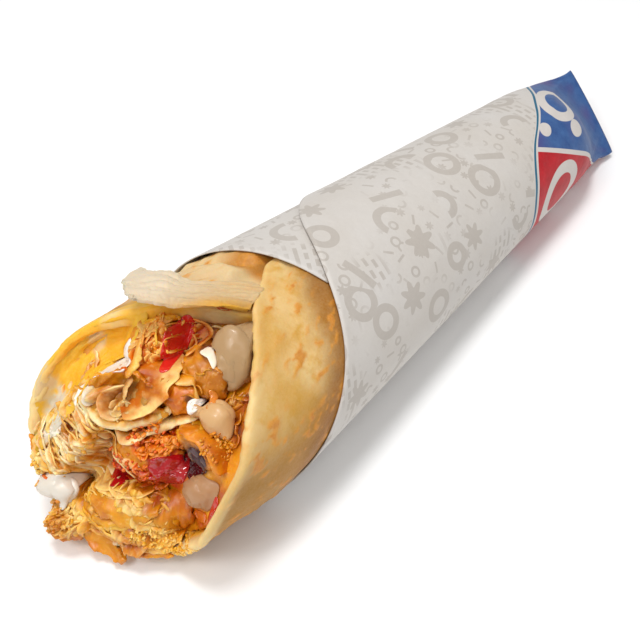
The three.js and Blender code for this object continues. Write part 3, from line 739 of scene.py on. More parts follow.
# %% Chicken on the right, below and at the corner
arm = [
    leaf([(12.4, 7.4), (18.6, 8.0), (24.6, 4.2), (26, -1.4)], [(10.0, 5.6), (14.6, 5.2), (20.4, 2.8), (23.4, -2.4)],
         2.6, bulge=1.4, ruffle=0.45, cells=(28, 8), thick=1.0, colours=("#bf6a1c", "#d88c38")),
    leaf([(14.6, 9.2), (18.6, 8.8), (22.6, 7.2)], [(13.4, 7), (17.8, 6.4), (22, 4.6)], 1.4, bulge=0.5,
         colours=("#c97a2c", "#e8a855")),
]
lower = [
    leaf([(-10, -18.2), (-3, -16.2), (4, -15.6), (9, -16.6)], [(-9, -23), (-2.4, -24), (4.4, -23.4), (9.4, -20.8)],
         1.6, bulge=1.6, ruffle=0.4, cells=(32, 9), thick=0.9, colours=("#c77c20", "#da9838")),
    leaf([(-12, -20.6), (-6, -21.8), (0, -22.6)], [(-12.6, -24.6), (-6, -26.6), (0.6, -26.4)], 1.6, bulge=1.0,
         ruffle=0.6, cells=(26, 7), colours=("#cf8630", "#ecb661")),
    leaf([(6.8, -14.8), (12, -12.8), (17, -15.4)], [(8, -23), (13, -23.6), (18.2, -20)], 0.8, bulge=1.8,
         ruffle=0.3, cells=(26, 9), thick=0.9, colours=("#b86418", "#d08a36")),
    leaf([(-2, -24.4), (4, -25), (10, -24.6), (15, -23.6)], [(-2.4, -28), (4.4, -30), (11, -29), (16, -26.6)],
         1.0, bulge=0.8, ruffle=0.8, cells=(28, 7), colours=("#d68c34", "#efbd6c")),
    leaf([(-12, -31), (-6.4, -32), (-1.4, -33.4)], [(-13.6, -33.8), (-7.4, -35.2), (-1.8, -37.8)], 0.6,
         bulge=0.4, ruffle=0.5, colours=("#d98f2f", "#f0b858"), smooth=0),
    leaf([(-2.6, -30.4), (0, -30.6), (2.6, -30)], [(-2.8, -32.8), (0, -33), (2.8, -31.4)], 1.0, bulge=0.3,
         ruffle=0.5, colours=("#edc78e", "#fae8c8"), smooth=0),
    leaf([(4.6, -28.2), (9, -28.4), (13, -27.2)], [(5, -30.4), (9.6, -31), (14.4, -29.2)], 0.8, bulge=0.4,
         ruffle=0.7, colours=("#db9a48", "#f0bf72")),
    leaf([(0.6, -25), (2.6, -24.6), (4.4, -25)], [(0.4, -26.8), (2.6, -27), (5, -26.4)], 1.6, bulge=0.4,
         ruffle=0.3, colours=("#f0cfa0", "#fbeed6")),
]
corner = [
    leaf([(-13.6, -23), (-15.6, -25.4), (-16.6, -28)], [(-18.2, -24.2), (-20.6, -27.8), (-22.4, -31.2)], 1.8,
         bulge=0.8, ruffle=0.9, cells=(26, 7), colours=("#d58b30", "#efc070")),
    leaf([(-12.6, -25.4), (-14.6, -28), (-15.6, -30.4)], [(-16.8, -27), (-19.2, -30.6), (-20.4, -34)], 2.0,
         bulge=0.7, ruffle=0.9, cells=(26, 7), colours=("#ca7d2b", "#f2cc88")),
    leaf([(-10, -26.4), (-11.4, -29), (-12.4, -31)], [(-12.8, -28.8), (-15.2, -31.6), (-17.4, -34.6)], 1.8,
         bulge=0.7, ruffle=0.8, cells=(14, 5), colours=("#d08430", "#f1c47a")),
    leaf([(-8.2, -23.4), (-8.8, -26.4), (-9, -29.2)], [(-10.6, -24.6), (-11.6, -28), (-11.8, -31.8)], 2.0,
         bulge=0.6, ruffle=0.7, cells=(14, 5), colours=("#d3872f", "#eebb6c")),
    leaf([(-26.6, -13.8), (-25, -14.6), (-24, -16.4)], [(-28.6, -14), (-28.2, -16.8), (-26.4, -18.8)], 2.2,
         bulge=0.8, ruffle=0.7, cells=(12, 5), colours=("#d9922f", "#f3d18c")),
    leaf([(-27.6, -18.4), (-27.6, -21), (-26, -24)], [(-30, -18.8), (-30.2, -22), (-27.4, -26.4)], 1.4,
         bulge=0.5, ruffle=0.8, cells=(14, 4), colours=("#d98f38", "#f1c67c"), smooth=0),
]
top = [
    leaf([(-7.4, 25.8), (-3.6, 28.2), (1.8, 30.4)], [(-7.8, 27.6), (-3.8, 30.2), (1.8, 32.2)], 1.2, bulge=0.4,
         ruffle=0.5, colours=("#dd8f28", "#f0b650")),
    leaf([(-2.8, 29.4), (-1.4, 27), (-0.2, 24.6)], [(-1.6, 30), (0, 27.4), (1.2, 24.8)], 2.2, bulge=0.4,
         ruffle=0.5, colours=("#e07a22", "#f3bd62")),
    leaf([(-5.4, 27.2), (-4.6, 24.6), (-4.4, 21.6)], [(-4, 27.8), (-3.2, 24.8), (-3, 21.6)], 2.0, bulge=0.4,
         ruffle=0.6, colours=("#d96a2a", "#f0ab62")),
    leaf([(4.4, 31.2), (7.2, 29.2), (8.6, 26.4), (7.4, 24)], [(5.8, 32), (9, 30.2), (10.4, 26.8), (8.8, 23.4)],
         2.4, bulge=0.3, ruffle=0.7, cells=(18, 4), colours=("#cf5a22", "#f0b878")),
    leaf([(4, 26.2), (6.4, 24.6), (5.4, 21.6), (7.6, 21.6)], [(4.8, 27.8), (8, 25.6), (6.8, 22.4), (9.2, 22.8)],
         2.6, bulge=0.3, ruffle=0.6, cells=(18, 4), colours=("#d4682a", "#f3c287")),
    leaf([(8.6, 29.2), (11, 29.2), (13.2, 27.8)], [(8.8, 30.2), (11.2, 30.2), (13.6, 28.8)], 1.6, bulge=0.2,
         ruffle=0.3, colours=("#b98048", "#ecc892")),
    leaf([(8.8, 26.6), (11, 26.6), (13, 25.6)], [(9, 27.6), (11.2, 27.6), (13.4, 26.6)], 1.6, bulge=0.2,
         ruffle=0.3, colours=("#b98048", "#e8bf86")),
]
lower += feathers([(-13, -15.0), (-6, -13.4), (2, -13.8), (8, -15.8)], [(-14, -27.6), (-6, -29.6), (3, -30), (13, -26.6)],
                  7, 4, -22, (("#b8671e", "#c27426", "#ad5c1a"), ("#f0bb66", "#eeb45c", "#f2c884")),
                  half=(3.4, 6.8), wide=(2.6, 4.6), lift=(1.6, 3.2), bend=24)
print("big leaves:", len(arm) + len(lower) + len(corner) + len(top))

# %% [markdown]
# ## Small leaves by the hundred
# Between the big leaves the coat is broken into small flakes. Each zone of the mouth has its own
# count, size, heading and colours, and a seeded random draw spreads them. They land on whatever is
# under them.

# %% Scatter small leaves
# Each zone: middle across and up, half sizes, how many, heading in degrees, length, height, colours.
ZONES = [
    ("fan", (-20, -5), (7, 10), 30, -46, 3.4, 1.6, ("#c8803a", CREAM)),
    ("shell", (-9, 5), (8, 5), 26, 30, 3.4, 1.2, ("#c07c34", "#efcf96")),
    ("top", (0, 25), (7, 6), 46, 75, 3.6, 1.8, ("#dd6a30", "#f3bd76")),
    ("right", (14, 19), (6, 6), 6, 10, 3.0, 0.8, ("#b5722e", "#cf8f4a")),
    ("arm", (21.8, 4.4), (4.8, 3.4), 40, -40, 2.6, 0.9, ("#b9641c", "#e6a04c")),
    ("sauced", (5, 0), (8, 4), 46, 20, 2.8, 1.7, ("#cf4f24", "#eb9a56")),
    ("red", (0, -10), (11, 4), 34, 10, 2.6, 1.5, ("#c4351f", "#e8884a")),
    ("lower", (-1, -22), (15, 8), 110, -8, 4.6, 1.6, ("#cb7f2e", "#eebd74")),
    ("corner", (-16, -26), (6, 6), 54, -130, 4.2, 2.0, ("#cb7f2c", "#f0c67e")),
    ("knob", (-26.5, -15), (2.6, 3), 16, -60, 2.6, 1.5, ("#dd9a34", "#f4d692")),
    # Painted shade: the leaves in the crevice by the flap's edge are painted darker.
    ("shaded_crevice", (24, 13), (3, 10), 26, 80, 3.2, 1.4, ("#9a5222", "#d79a52")),
    ("lip", (12, -26), (10, 3), 44, 5, 2.6, 1.0, ("#d99a40", "#eec07a")),
]
random.seed(11)
small = {}
for zone, (ma, mu), (ha, hu), count, heading, length, height, colours in ZONES:
    small[zone] = []
    for _ in range(count):
        spin, far = random.uniform(0, math.tau), math.sqrt(random.random())
        a, u = ma + ha * far * math.cos(spin), mu + hu * far * math.sin(spin)
        if landing(ground, a, u) == OFF_EDGE:
            continue
        turn = math.radians(heading + random.gauss(0, 28))
        half = length * random.uniform(0.35, 0.7)
        da, du = half * math.cos(turn), half * math.sin(turn)
        side = random.choice([-1, 1])
        na, nu = -math.sin(turn) * side, math.cos(turn) * side
        wide = height * random.uniform(0.6, 1.3)
        curve = random.uniform(-0.8, 0.8)
        root = [(a - da, u - du), (a + na * curve, u + nu * curve), (a + da, u + du)]
        edge = shifted(root, na * wide, nu * wide)
        small[zone].append(leaf(root, edge, height * random.uniform(0.4, 1.0), bulge=0.25, ruffle=0.45, thick=0.45,
                                cells=(7, 3), colours=colours, ends=0.75, smooth=0.0))
print("small leaves:", sum(len(leaves) for leaves in small.values()))

# %% [markdown]
# ## Join the leaves to their chicken
# Each leaf now joins the piece of chicken that it grows from. The colour of that piece is painted in
# soft fields first, because joining keeps both colour layers.

# %% Paint the chicken
# Each field: middle across and up, half sizes, colour, strength. Later fields lie over earlier ones.
FIELDS = [
    ((-18, -4), (12, 14), "#e0ab5c", 0.9), ((0, 26), (9, 8), "#df8430", 0.9), ((15, 20), (8, 8), "#b9742e", 1.0),
    ((10, 14), (5, 7), "#dd8a38", 0.9), ((-3, 11), (6, 5), "#b98852", 0.9), ((20, 2), (9, 6), "#db9138", 0.9),
    ((5, 0), (9, 6), "#e87030", 0.95), ((9.6, -7), (7, 6), "#b8241c", 1.0), ((-5, -12), (7, 5), "#c8371e", 0.9),
    ((3, -11), (5, 4), "#cf4a20", 0.8), ((4, 25), (3.4, 8), "#cc3020", 1.0), ((-5, 21), (4, 5), "#d8603a", 0.7),
    # Painted shade: the near-black field at 16.2 across darkens the hole beside the red jelly. Painted light: the pale
    # gold field at -9 across lightens the low part of the fan, deep in its gap.
    ((16.2, -2.2), (5.8, 6.4), "#3c0408", 1.0), ((-9, -5), (5, 6), "#e6b468", 1.0), ((0, -24), (16, 7), "#dd953c", 0.9), ((-17, -28), (8, 8), "#dd9a3e", 0.9),
    # Painted shade: the two dark fields at the right edge darken the crevice where the flap stands off the filling.
    ((26.5, 12), (3.2, 9), "#b0622a", 0.8), ((25.5, 9.8), (1.6, 2.6), "#5a2410", 0.8),
    ((-31, 4), (6, 14), "#eaa823", 1.0), ((-20, 20), (8, 8), "#ecab28", 1.0), ((-13, 19), (3, 6), "#e4921e", 0.9),
    # Painted shade: the two dark brown spots at 13 across darken small gaps between the sauces.
    ((13, 27), (2.6, 3), "#6a2c10", 0.9), ((13, 13.6), (1.8, 1.6), "#4a2008", 0.9), ((20, -17), (5, 3), "#d9711f", 0.9),
]
BASE_COAT = linear("#d9953f")
fields = [(middle, half, linear(colour), strength) for middle, half, colour, strength in FIELDS]


def coat_colour(point):
    """The colour of the chicken's coat at a point."""
    a, u, _ = mouth_place(point)
    colour = BASE_COAT
    uneven = wave(a / 2.4, u / 2.4, 0.7) * 0.3
    for (ma, mu), (ha, hu), field, strength in fields:
        far = math.hypot((a - ma) / ha, (u - mu) / hu) + uneven
        colour = mixed(colour, field, strength * (1 - ease((far - 0.6) / 0.5)))
    return colour


for piece in [core, core_back, *body.values()]:
    painted(piece, coat_colour)

GROWN = {"layered_crust": fan + small["fan"] + small["knob"], "curled_crust": shell + ribbons + small["shell"],
         "chicken_top": top + small["top"], "chicken_right": small["right"] + small["shaded_crevice"], "chicken_arm": arm + small["arm"],
         "chicken_sauced": small["sauced"] + small["red"], "chicken_lower": lower + small["lower"] + small["lip"],
         "chicken_corner": corner + small["corner"]}
for name, leaves in GROWN.items():
    body[name] = smooth_faces(joined(body[name].name, [body[name], *leaves]))
    for vertex in body[name].data.vertices:
        vertex.co.z = max(vertex.co.z, 0.1 * MM)
print("dressed chicken faces:", {name: len(piece.data.polygons) for name, piece in body.items()})

# %% [markdown]
# ## Sauces
# A thick sauce is a low dome whose outline is free and whose underside follows what it lies on. The
# grid is bent to a polar one: most of its rows run from the middle up over the dome to the rim, the
# last few run back underneath. Creamy garlic sauce, chilli jelly and thin oily sauce differ only in
# outline, height and material.

# %% Pour one pool
ground = surface_tree([core, bread, tongue, *body.values(), *melts.values()])


def pool(name, outline, height, colour, spread=1.2, sink=0.5, round_edge=2.6, lumpy=0.25, cells=(56, 16)):
    """A pool of sauce with an outline in the mouth, standing a height over what it lies on."""
    count = len(outline)
    middle = [sum(p[k] for p in outline) / count for k in (0, 1)]
    closed = list(outline) + [outline[0]]

    def rim(turn):
        at = turn * count
        i = int(at) % count
        t = at - int(at)
        p = [outline[(i + k) % count] for k in (-1, 0, 1, 2)]
        return [0.5 * (2 * p[1][k] + (p[2][k] - p[0][k]) * t + (2 * p[0][k] - 5 * p[1][k] + 4 * p[2][k] - p[3][k])
                       * t * t + (3 * p[1][k] - p[0][k] - 3 * p[2][k] + p[3][k]) * t ** 3) for k in (0, 1)]

    def point(u, v):
        top = v <= 0.8
        share = v / 0.8 if top else (1 - v) / 0.2
        ra, ru = rim(u)
        a, h = (middle[0] + (ra - middle[0]) * share, middle[1] + (ru - middle[1]) * share)
        base = landing(ground, a, h, spread * (1 - share ** 4))
        dome = height * (1 - share ** round_edge) ** 0.5
        bump = lumpy * wave(a / 2.6, h / 2.6, height) * (1 - share ** 4)
        return in_mouth(a, h, base - sink * (1 - share ** 6) if not top else base + dome + bump - 0.1)

    piece = bent(new_grid(name, *cells), point)
    edit(piece, (bpy.ops.mesh.remove_doubles, {"threshold": 0.02 * MM}),
         (bpy.ops.mesh.normals_make_consistent, {"inside": False}))
    apply(piece, "SMOOTH", factor=0.5, iterations=3)
    painted(piece, lambda point: linear(colour))
    return smooth_faces(piece)


mayo_corner = pool("garlic_sauce_corner", [(-28.9, -19.6), (-25.4, -18.4), (-22.1, -16.2), (-17.8, -15.2),
                   (-14.7, -16.5), (-14.2, -19.4), (-15.4, -22.6), (-16.0, -25.4), (-17.8, -25.2), (-18.9, -22.2),
                   (-22.4, -23.6), (-26.6, -22.3)], 2.0, "#dcd3c5")
mayo_top = joined("garlic_sauce_top", [
    pool("smear", [(-8.6, 24.2), (-7.2, 23.8), (-6.2, 20.6), (-4.8, 18.6), (-5.2, 16.6), (-10.0, 14.8), (-14.6, 12.0),
                   (-18.0, 10.2), (-18.4, 11.4), (-14.8, 14), (-10.8, 17.2), (-8.8, 18.8), (-8.6, 21.4)], 1.3,
         "#f4ece4", spread=0.8, cells=(90, 16)),
    pool("drip", [(-18.4, 11.2), (-17.4, 11.2), (-17.0, 8), (-17.0, 4.2), (-17.9, 4.2), (-18.4, 8)], 0.5, "#f8f2e6",
         spread=0.5),
])
mayo_left = pool("garlic_sauce_left", [(-29.8, 0.6), (-25.3, 1.2), (-21.4, -0.4), (-20.2, -4.2), (-22, -6.4),
                 (-25.5, -7), (-28.9, -5.2), (-30.4, -2.4)], 0.5, "#eee2cf", spread=2.4)
# Painted shade: by the flap's edge the white garlic sauce of the slice is painted a dull tan.
slice_right = pool("garlic_sauce_slice", [(14.4, 29.4), (15.6, 32.6), (18.5, 34.4), (22, 35), (24, 31), (25.6, 21),
                   (23.4, 19.6), (20.1, 19.4), (18, 21.6), (16.4, 24), (15, 27)], 0.4, "#b28f64", spread=3,
                   sink=1.4, round_edge=4, lumpy=0.1)
mayo_right = joined("garlic_sauce_right", [
    pool("blob", [(15.7, 11), (16.1, 13.2), (17.9, 14.9), (21.7, 15.2), (24.9, 12), (25.4, 6.7), (21.6, 6.2),
                  (17.2, 7.8)], 1.3, "#d3a873", spread=1.6, sink=1.2, round_edge=3, lumpy=0.1),
    pool("spot", [(12, 12.6), (13.2, 14.4), (15.2, 13.8), (15.4, 11.8), (13.8, 10.6)], 1.9, "#fdf7ec", sink=0.9),
    pool("ring", [(11.2, 25.4), (12.4, 27.0), (14.8, 26.8), (17.0, 24.2), (16.8, 22.6), (15.2, 24.4), (13.2, 25.4)],
         1.2, "#f3e6cf", spread=0.8),
])
mayo_lower = pool("garlic_sauce_lower", [(13.4, -9.3), (16.2, -6.2), (18.6, -4.3), (21.9, -4.4), (25.2, -5), (25, -9.7),
                  (22.6, -14.2), (19.4, -14.6), (16.8, -12.1)], 0.8, "#b2855c", spread=1.6, sink=1.0, round_edge=3)
chilli_top = pool("chilli_sauce_top", [(2.1, 31.7), (4.1, 32.4), (5.6, 29.5), (5.2, 26), (4.6, 22.3), (5.5, 19.4),
                  (3.3, 18.2), (1.7, 21.1), (1.8, 25.1), (1.1, 28.8)], 1.1, "#d92a20", spread=0.7, lumpy=0.7, cells=(90, 24))
chilli_middle = joined("chilli_sauce_middle", [
    pool("jelly", [(4.6, -7.1), (5.1, -4), (8.7, -2.4), (13.1, -2.2), (14.6, -5.8), (13.6, -9.6), (8.7, -11.8),
                   (5.5, -10.8)], 1.7, "#ab0c12", spread=1.0, lumpy=1.4, cells=(110, 30)),
    # A thin pool of dark red sauce fills the hole beside the jelly, painted near black as painted shade.
    pool("shaded_hollow", [(13.4, -1.2), (15.4, 2.6), (18.4, 2.6), (20.6, -0.8), (20.2, -4.6), (17.8, -7.6), (14.8, -7.4),
                    (13.0, -4.6)], 0.3, "#430208", spread=1.8, sink=0.8, cells=(70, 20)),
])
chilli_left = pool("chilli_sauce_left", [(-9.4, -11), (-6, -8.7), (-2.9, -8.4), (-1.6, -11.6), (-3, -15), (-6.9, -15)],
                   1.4, "#b01216", spread=0.8, lumpy=1.0, cells=(90, 24))
oily = joined("orange_sauce", [
    pool("drop", [(16.3, 17.2), (17.4, 17.4), (19.2, 15.4), (19.6, 12.4), (18.2, 11.6), (17.2, 13), (17, 15.2)], 1.1,
         "#d9822c", sink=1.5),
    pool("bit", [(-25.2, -18.4), (-23, -17.4), (-20.4, -16.6), (-21, -18), (-22.5, -19.4)], 1.4, "#d8641c", sink=1.5),
    pool("under", [(17.4, -16), (21.8, -14.7), (22, -17.6), (18.9, -18.7)], 0.7, "#d46a18"),
    pool("run", [(24.1, -8.1), (25, -8.3), (25.7, -10.1), (25.2, -13.6), (24.2, -17), (22.9, -16.5), (23.1, -12.5)],
         1.0, "#c2280f"),
    pool("rim_spot", [(9.6, 36.2), (12.6, 37.6), (14.6, 37.2), (14.4, 35.8), (11.6, 35.2)], 0.5, "#dc7426"),
])
for pooled, node_name in [(mayo_corner, "white_sauce_corner"), (slice_right, "white_sauce_slice"),
                          (mayo_right, "white_sauce_right"), (mayo_lower, "white_sauce_lower")]:
    tone = pooled.data.color_attributes["tint"].data[0].color
    painted(melts[node_name], lambda point: tone)
    joined(pooled.name, [pooled, melts[node_name]])
    smooth_faces(pooled)
sauces = [mayo_corner, mayo_top, mayo_left, slice_right, mayo_right, mayo_lower, chilli_top, chilli_middle,
          chilli_left, oily]
# The bread's inner wall shows deep yellow between the rim and the chicken on the left, smeared with sauce.
fold = pool("bread_inner_fold", [(-26, -12), (-31.5, -9), (-34.4, -3), (-34.6, 4), (-32.4, 11), (-28, 18), (-21.6, 25.4),
            (-14, 30.6), (-7.4, 33), (-5.6, 27.4), (-7.6, 20), (-12.6, 15.4), (-15.4, 10), (-17, 4), (-21, -3)], 0.5,
            "#e8ab2a", spread=2.6, sink=1.0, round_edge=8, lumpy=0.5, cells=(110, 40))
for name, number in (("winding", 120), ("from_rim", 20), ("inner", 1), ("toast", 0), ("to_paper", 40)):
    measured(fold, name, lambda point: number)


def smeared(point):
    """How much thin white sauce covers the wall at a point."""
    a, u, _ = mouth_place(point)
    rough = 0.35 * wave(a / 3, u / 3, 1.0) + 0.2 * wave(a / 1.2, u / 1.2, 6.0)
    lower = 1 - ease((math.hypot((a + 25.5) / 6.5, (u + 2.0) / 6.5) + rough - 0.75) / 0.4)
    upper = 1 - ease((math.hypot((a + 20.6) / 2.3, (u - 18.6) / 3.6) + rough - 0.7) / 0.5)
    left = 1 - ease((math.hypot((a + 32.5) / 2.6, (u - 4.5) / 6.0) + rough - 0.7) / 0.5)
    return max(lower, 0.5 * upper, 0.6 * left)


measured(fold, "milk", smeared)
print("sauce faces:", sum(len(piece.data.polygons) for piece in sauces))

# %% [markdown]
# ## Crumbs
# Crumbs of fried coat stick to the lower lip and to the red sauce. Each is a small faceted ball,
# dented, stretched and turned, with its own size.

# %% Scatter crumbs
ground = surface_tree([core, bread, fold, *body.values(), *sauces])
# Each patch of crumbs: middle across and up, half sizes, how many, size, colours.
CRUMB_PATCHES = [((13, -26.5), (11, 3), 150, 0.55, ("#e0a043", "#f0c780")),
                 ((5, 0.6), (7, 3.4), 70, 0.75, ("#d8582a", "#efa564")),
                 ((22.2, 4.8), (4.2, 3.2), 60, 0.55, ("#cf7a26", "#ecb268")),
                 ((-2, -9), (8, 4), 40, 0.6, ("#d34a22", "#e88a48")), ((-18, -28), (5, 5), 60, 0.6, ("#dd9838", "#f2ce8a")),
                 ((0, 27), (6, 5), 40, 0.5, ("#dc7a2c", "#f2bd70")), ((-27, -17), (2.6, 5), 40, 0.6, ("#e3a548", "#f4d795"))]


def crumb(place, size, colour):
    """One crumb at a place in the mouth."""
    bpy.ops.object.select_all(action="DESELECT")
    bpy.ops.mesh.primitive_ico_sphere_add(subdivisions=1, radius=size * MM)
    piece = bpy.context.object
    seed = random.random() * 50
    turn = Matrix.Rotation(random.uniform(0, math.tau), 3, Vector((random.random(), random.random(), 0.3)).normalized())
    for vertex in piece.data.vertices:
        uneven = 1 + 0.5 * wave(vertex.co.x / MM + seed, vertex.co.y / MM, vertex.co.z / MM)
        stretched = Vector((vertex.co.x * 1.5, vertex.co.y, vertex.co.z * 0.7)) * uneven
        vertex.co = turn @ stretched + in_mouth(*place)
    return painted(piece, lambda point: colour)


random.seed(23)
crumbs = []
for (ma, mu), (ha, hu), count, size, (first, second) in CRUMB_PATCHES:
    for _ in range(count):
        spin, far = random.uniform(0, math.tau), math.sqrt(random.random())
        a, u = ma + ha * far * math.cos(spin), mu + hu * far * math.sin(spin)
        each = size * random.uniform(0.5, 1.3)
        if landing(ground, a, u) == OFF_EDGE:
            continue
        crumbs.append(crumb((a, u, landing(ground, a, u) + each * 0.4), each, mixed(linear(first), linear(second),
                                                                                  random.random())))
crumbs = joined("coat_crumbs", crumbs)
apply(crumbs, "SUBSURF", levels=1, render_levels=1)
smooth_faces(crumbs)
print("crumb faces:", len(crumbs.data.polygons))

# %% [markdown]
# ## Printed greaseproof paper
# The wrapper is pulp beaten so fine that grease can't pass, calendered to a satin face and printed
# in thin inks. Its own colour is a warm light grey with paler print on it. The tail has a border of
# a teal and a cream line, and beyond it a blue field and a red one. The shapes on it are plain ones:
# rings, discs, stars and bars. Each is a test on the numbers that the sheet carries, in millimetres.

# %% Paper material
paper_look, tree, surface = new_material("printed_greaseproof_paper")
sheet_u = node(tree, "ShaderNodeAttribute", attribute_name="sheet_u", out=2)
sheet_v = node(tree, "ShaderNodeAttribute", attribute_name="sheet_v", out=2)
border = node(tree, "ShaderNodeAttribute", attribute_name="past_border", out=2)
divide = node(tree, "ShaderNodeAttribute", attribute_name="past_divide", out=2)
flat = node(tree, "ShaderNodeCombineXYZ", {0: sheet_u, 1: sheet_v})


def math_of(operation, *values, clamp=False):
    """The result of one sum on numbers or sockets."""
    return node(tree, "ShaderNodeMath", dict(enumerate(values)), operation=operation, use_clamp=clamp)


def blend(share, first, second):
    """One colour laid over another by a share."""
    return node(tree, "ShaderNodeMix", {0: share, 6: first, 7: second}, out=2, data_type="RGBA")


def inside(distance, soft=0.12):
    """1 where a distance in millimetres is below zero, with a soft edge."""
    return math_of("MULTIPLY_ADD", distance, -1 / soft, 0.5, clamp=True)


def scattered(cell, kind_shift):
    """Plain shapes, one in each cell of a loose lattice: rings, discs, stars and bars. Returns their ink."""
    lattice = node(tree, "ShaderNodeTexVoronoi", {"Vector": flat, "Scale": 1 / cell, "Randomness": 0.55},
                   voronoi_dimensions="2D").node
    centre = node(tree, "ShaderNodeVectorMath", {0: lattice.outputs["Position"], 3: cell}, operation="SCALE")
    centre.node.inputs[3].default_value = 1.0
    away = node(tree, "ShaderNodeVectorMath", {0: flat, 1: centre}, operation="SUBTRACT")
    chance = node(tree, "ShaderNodeSeparateColor", {0: lattice.outputs["Color"]}).node
    spin = math_of("MULTIPLY", chance.outputs[0], math.tau)
    turned = node(tree, "ShaderNodeVectorRotate", {"Vector": away, "Angle": spin}, rotation_type="Z_AXIS")
    parts = node(tree, "ShaderNodeSeparateXYZ", {0: turned}).node
    x, y = parts.outputs[0], parts.outputs[1]
    far = node(tree, "ShaderNodeVectorMath", {0: away}, out=1, operation="LENGTH")
    angle = math_of("ARCTAN2", y, x)
    size = math_of("MULTIPLY_ADD", chance.outputs[2], cell * 0.1, cell * 0.2)
    ring = math_of("SUBTRACT", math_of("ABSOLUTE", math_of("SUBTRACT", far, size)), cell * 0.075)
    ray = math_of("MULTIPLY_ADD", math_of("COSINE", math_of("MULTIPLY", angle, 7.0)), 0.24, 0.86)
    star = math_of("SUBTRACT", far, math_of("MULTIPLY", ray, math_of("MULTIPLY", size, 1.1)))
    bar = math_of("MAXIMUM", math_of("SUBTRACT", math_of("ABSOLUTE", x), cell * 0.33),
                  math_of("SUBTRACT", math_of("ABSOLUTE", y), cell * 0.075))
    arch = math_of("MAXIMUM", ring, math_of("MULTIPLY", x, -1.0))
    kind = math_of("FRACT", math_of("ADD", chance.outputs[1], kind_shift))
    shape = ring
    for limit, other in ((0.2, arch), (0.42, star), (0.74, bar)):
        shape = node(tree, "ShaderNodeMix", {0: math_of("GREATER_THAN", kind, limit), 2: shape, 3: other})
    return inside(shape)


big_shapes = scattered(17.0, 0.0)
small_shapes = scattered(5.4, 0.35)
zone = node(tree, "ShaderNodeTexNoise", {"Vector": flat, "Scale": 0.035, "Detail": 0.0})
small_here = math_of("MULTIPLY", small_shapes, math_of("MULTIPLY_ADD", zone, 9.0, -3.9, clamp=True))
rows = node(tree, "ShaderNodeVectorRotate", {"Vector": flat, "Angle": 0.62}, rotation_type="Z_AXIS")
dashes = node(tree, "ShaderNodeTexBrick", {"Vector": rows, "Color1": (1, 1, 1, 1), "Color2": (1, 1, 1, 1),
                                           "Mortar": (0, 0, 0, 1), "Scale": 1.0, "Mortar Size": 0.8,
                                           "Mortar Smooth": 0.1, "Brick Width": 4.2, "Row Height": 2.8},
              offset=0.37, squash=2.2, squash_frequency=3)
area = node(tree, "ShaderNodeTexNoise", {"Vector": flat, "Scale": 0.045, "Detail": 0.0, "W": 4.0}, noise_dimensions="4D")
dashes_here = math_of("MULTIPLY", dashes, math_of("MULTIPLY_ADD", area, 14.0, -8.2, clamp=True))
clear = math_of("SUBTRACT", 1.0, math_of("MULTIPLY_ADD", area, 14.0, -7.8, clamp=True))
small_here = math_of("MULTIPLY", small_here, clear)
grey_ink = math_of("MAXIMUM", big_shapes, math_of("MAXIMUM", small_here, dashes_here))
fibre = node(tree, "ShaderNodeTexNoise", {"Vector": flat, "Scale": 0.9, "Detail": 5.0, "Roughness": 0.65})
cloud = node(tree, "ShaderNodeTexNoise", {"Vector": flat, "Scale": 0.05, "Detail": 2.0})
bare = blend(cloud, linear("#d0ccc8"), linear("#c6beb4"))
printed = blend(math_of("MULTIPLY", grey_ink, 0.6), bare, linear("#aba298"))

wash = node(tree, "ShaderNodeTexNoise", {"Vector": flat, "Scale": 0.16, "Detail": 6.0, "Roughness": 0.7})
wash_fac = math_of("MULTIPLY_ADD", wash, 2.4, -0.7, clamp=True)
violet = math_of("MULTIPLY_ADD", cloud, 5.0, -2.6, clamp=True)
blue = blend(violet, blend(wash_fac, linear("#1f4682"), linear("#41699f")), linear("#484682"))
red = blend(wash_fac, linear("#a2000f"), linear("#c40c1e"))
panel = blend(inside(divide), red, blue)
cream_ink = linear("#cfc8c2")
panel_marks = []
for mark_u, mark_v, radius, stroke in ((123, 217, 6.4, 1.7), (114, 226, 0.0, 3.0), (126.5, 236.5, 0.0, 2.4),
                                       (107, 252, 8.0, 1.9), (98, 262, 0.0, 3.2), (84, 240, 5.4, 1.6),
                                       (60, 246, 7.0, 1.8), (38, 240, 5.0, 1.6), (10, 236, 7.5, 1.9)):
    away = node(tree, "ShaderNodeVectorMath", {0: flat, 1: (mark_u, mark_v, 0)}, operation="SUBTRACT")
    squashed = node(tree, "ShaderNodeVectorMath", {0: away, 1: (1.0, 0.72, 1.0)}, operation="MULTIPLY")
    far = node(tree, "ShaderNodeVectorMath", {0: squashed}, out=1, operation="LENGTH")
    panel_marks.append(inside(math_of("SUBTRACT", math_of("ABSOLUTE", math_of("SUBTRACT", far, radius)), stroke)))
marks = panel_marks[0]
for other in panel_marks[1:]:
    marks = math_of("MAXIMUM", marks, other)
panel = blend(marks, panel, cream_ink)
panel = blend(inside(math_of("SUBTRACT", math_of("ABSOLUTE", divide), 1.1)), panel, cream_ink)
edging = blend(inside(math_of("SUBTRACT", border, 3.4)), panel, cream_ink)
edging = blend(inside(math_of("SUBTRACT", border, 2.1)), edging, linear("#1f6480"))
edging = blend(inside(math_of("SUBTRACT", border, 0.7)), edging, cream_ink)
ink = blend(math_of("MULTIPLY_ADD", border, 8.0, 0.5, clamp=True), printed, edging)
worn = math_of("MULTIPLY_ADD", fibre, 0.5, 0.72, clamp=True)
ink = node(tree, "ShaderNodeMix", {0: 1.0, 6: ink, 7: blend(worn, linear("#e6e2de"), linear("#ffffff"))}, out=2,
           data_type="RGBA", blend_type="MULTIPLY")
tree.links.new(ink, surface.inputs["Base Color"])
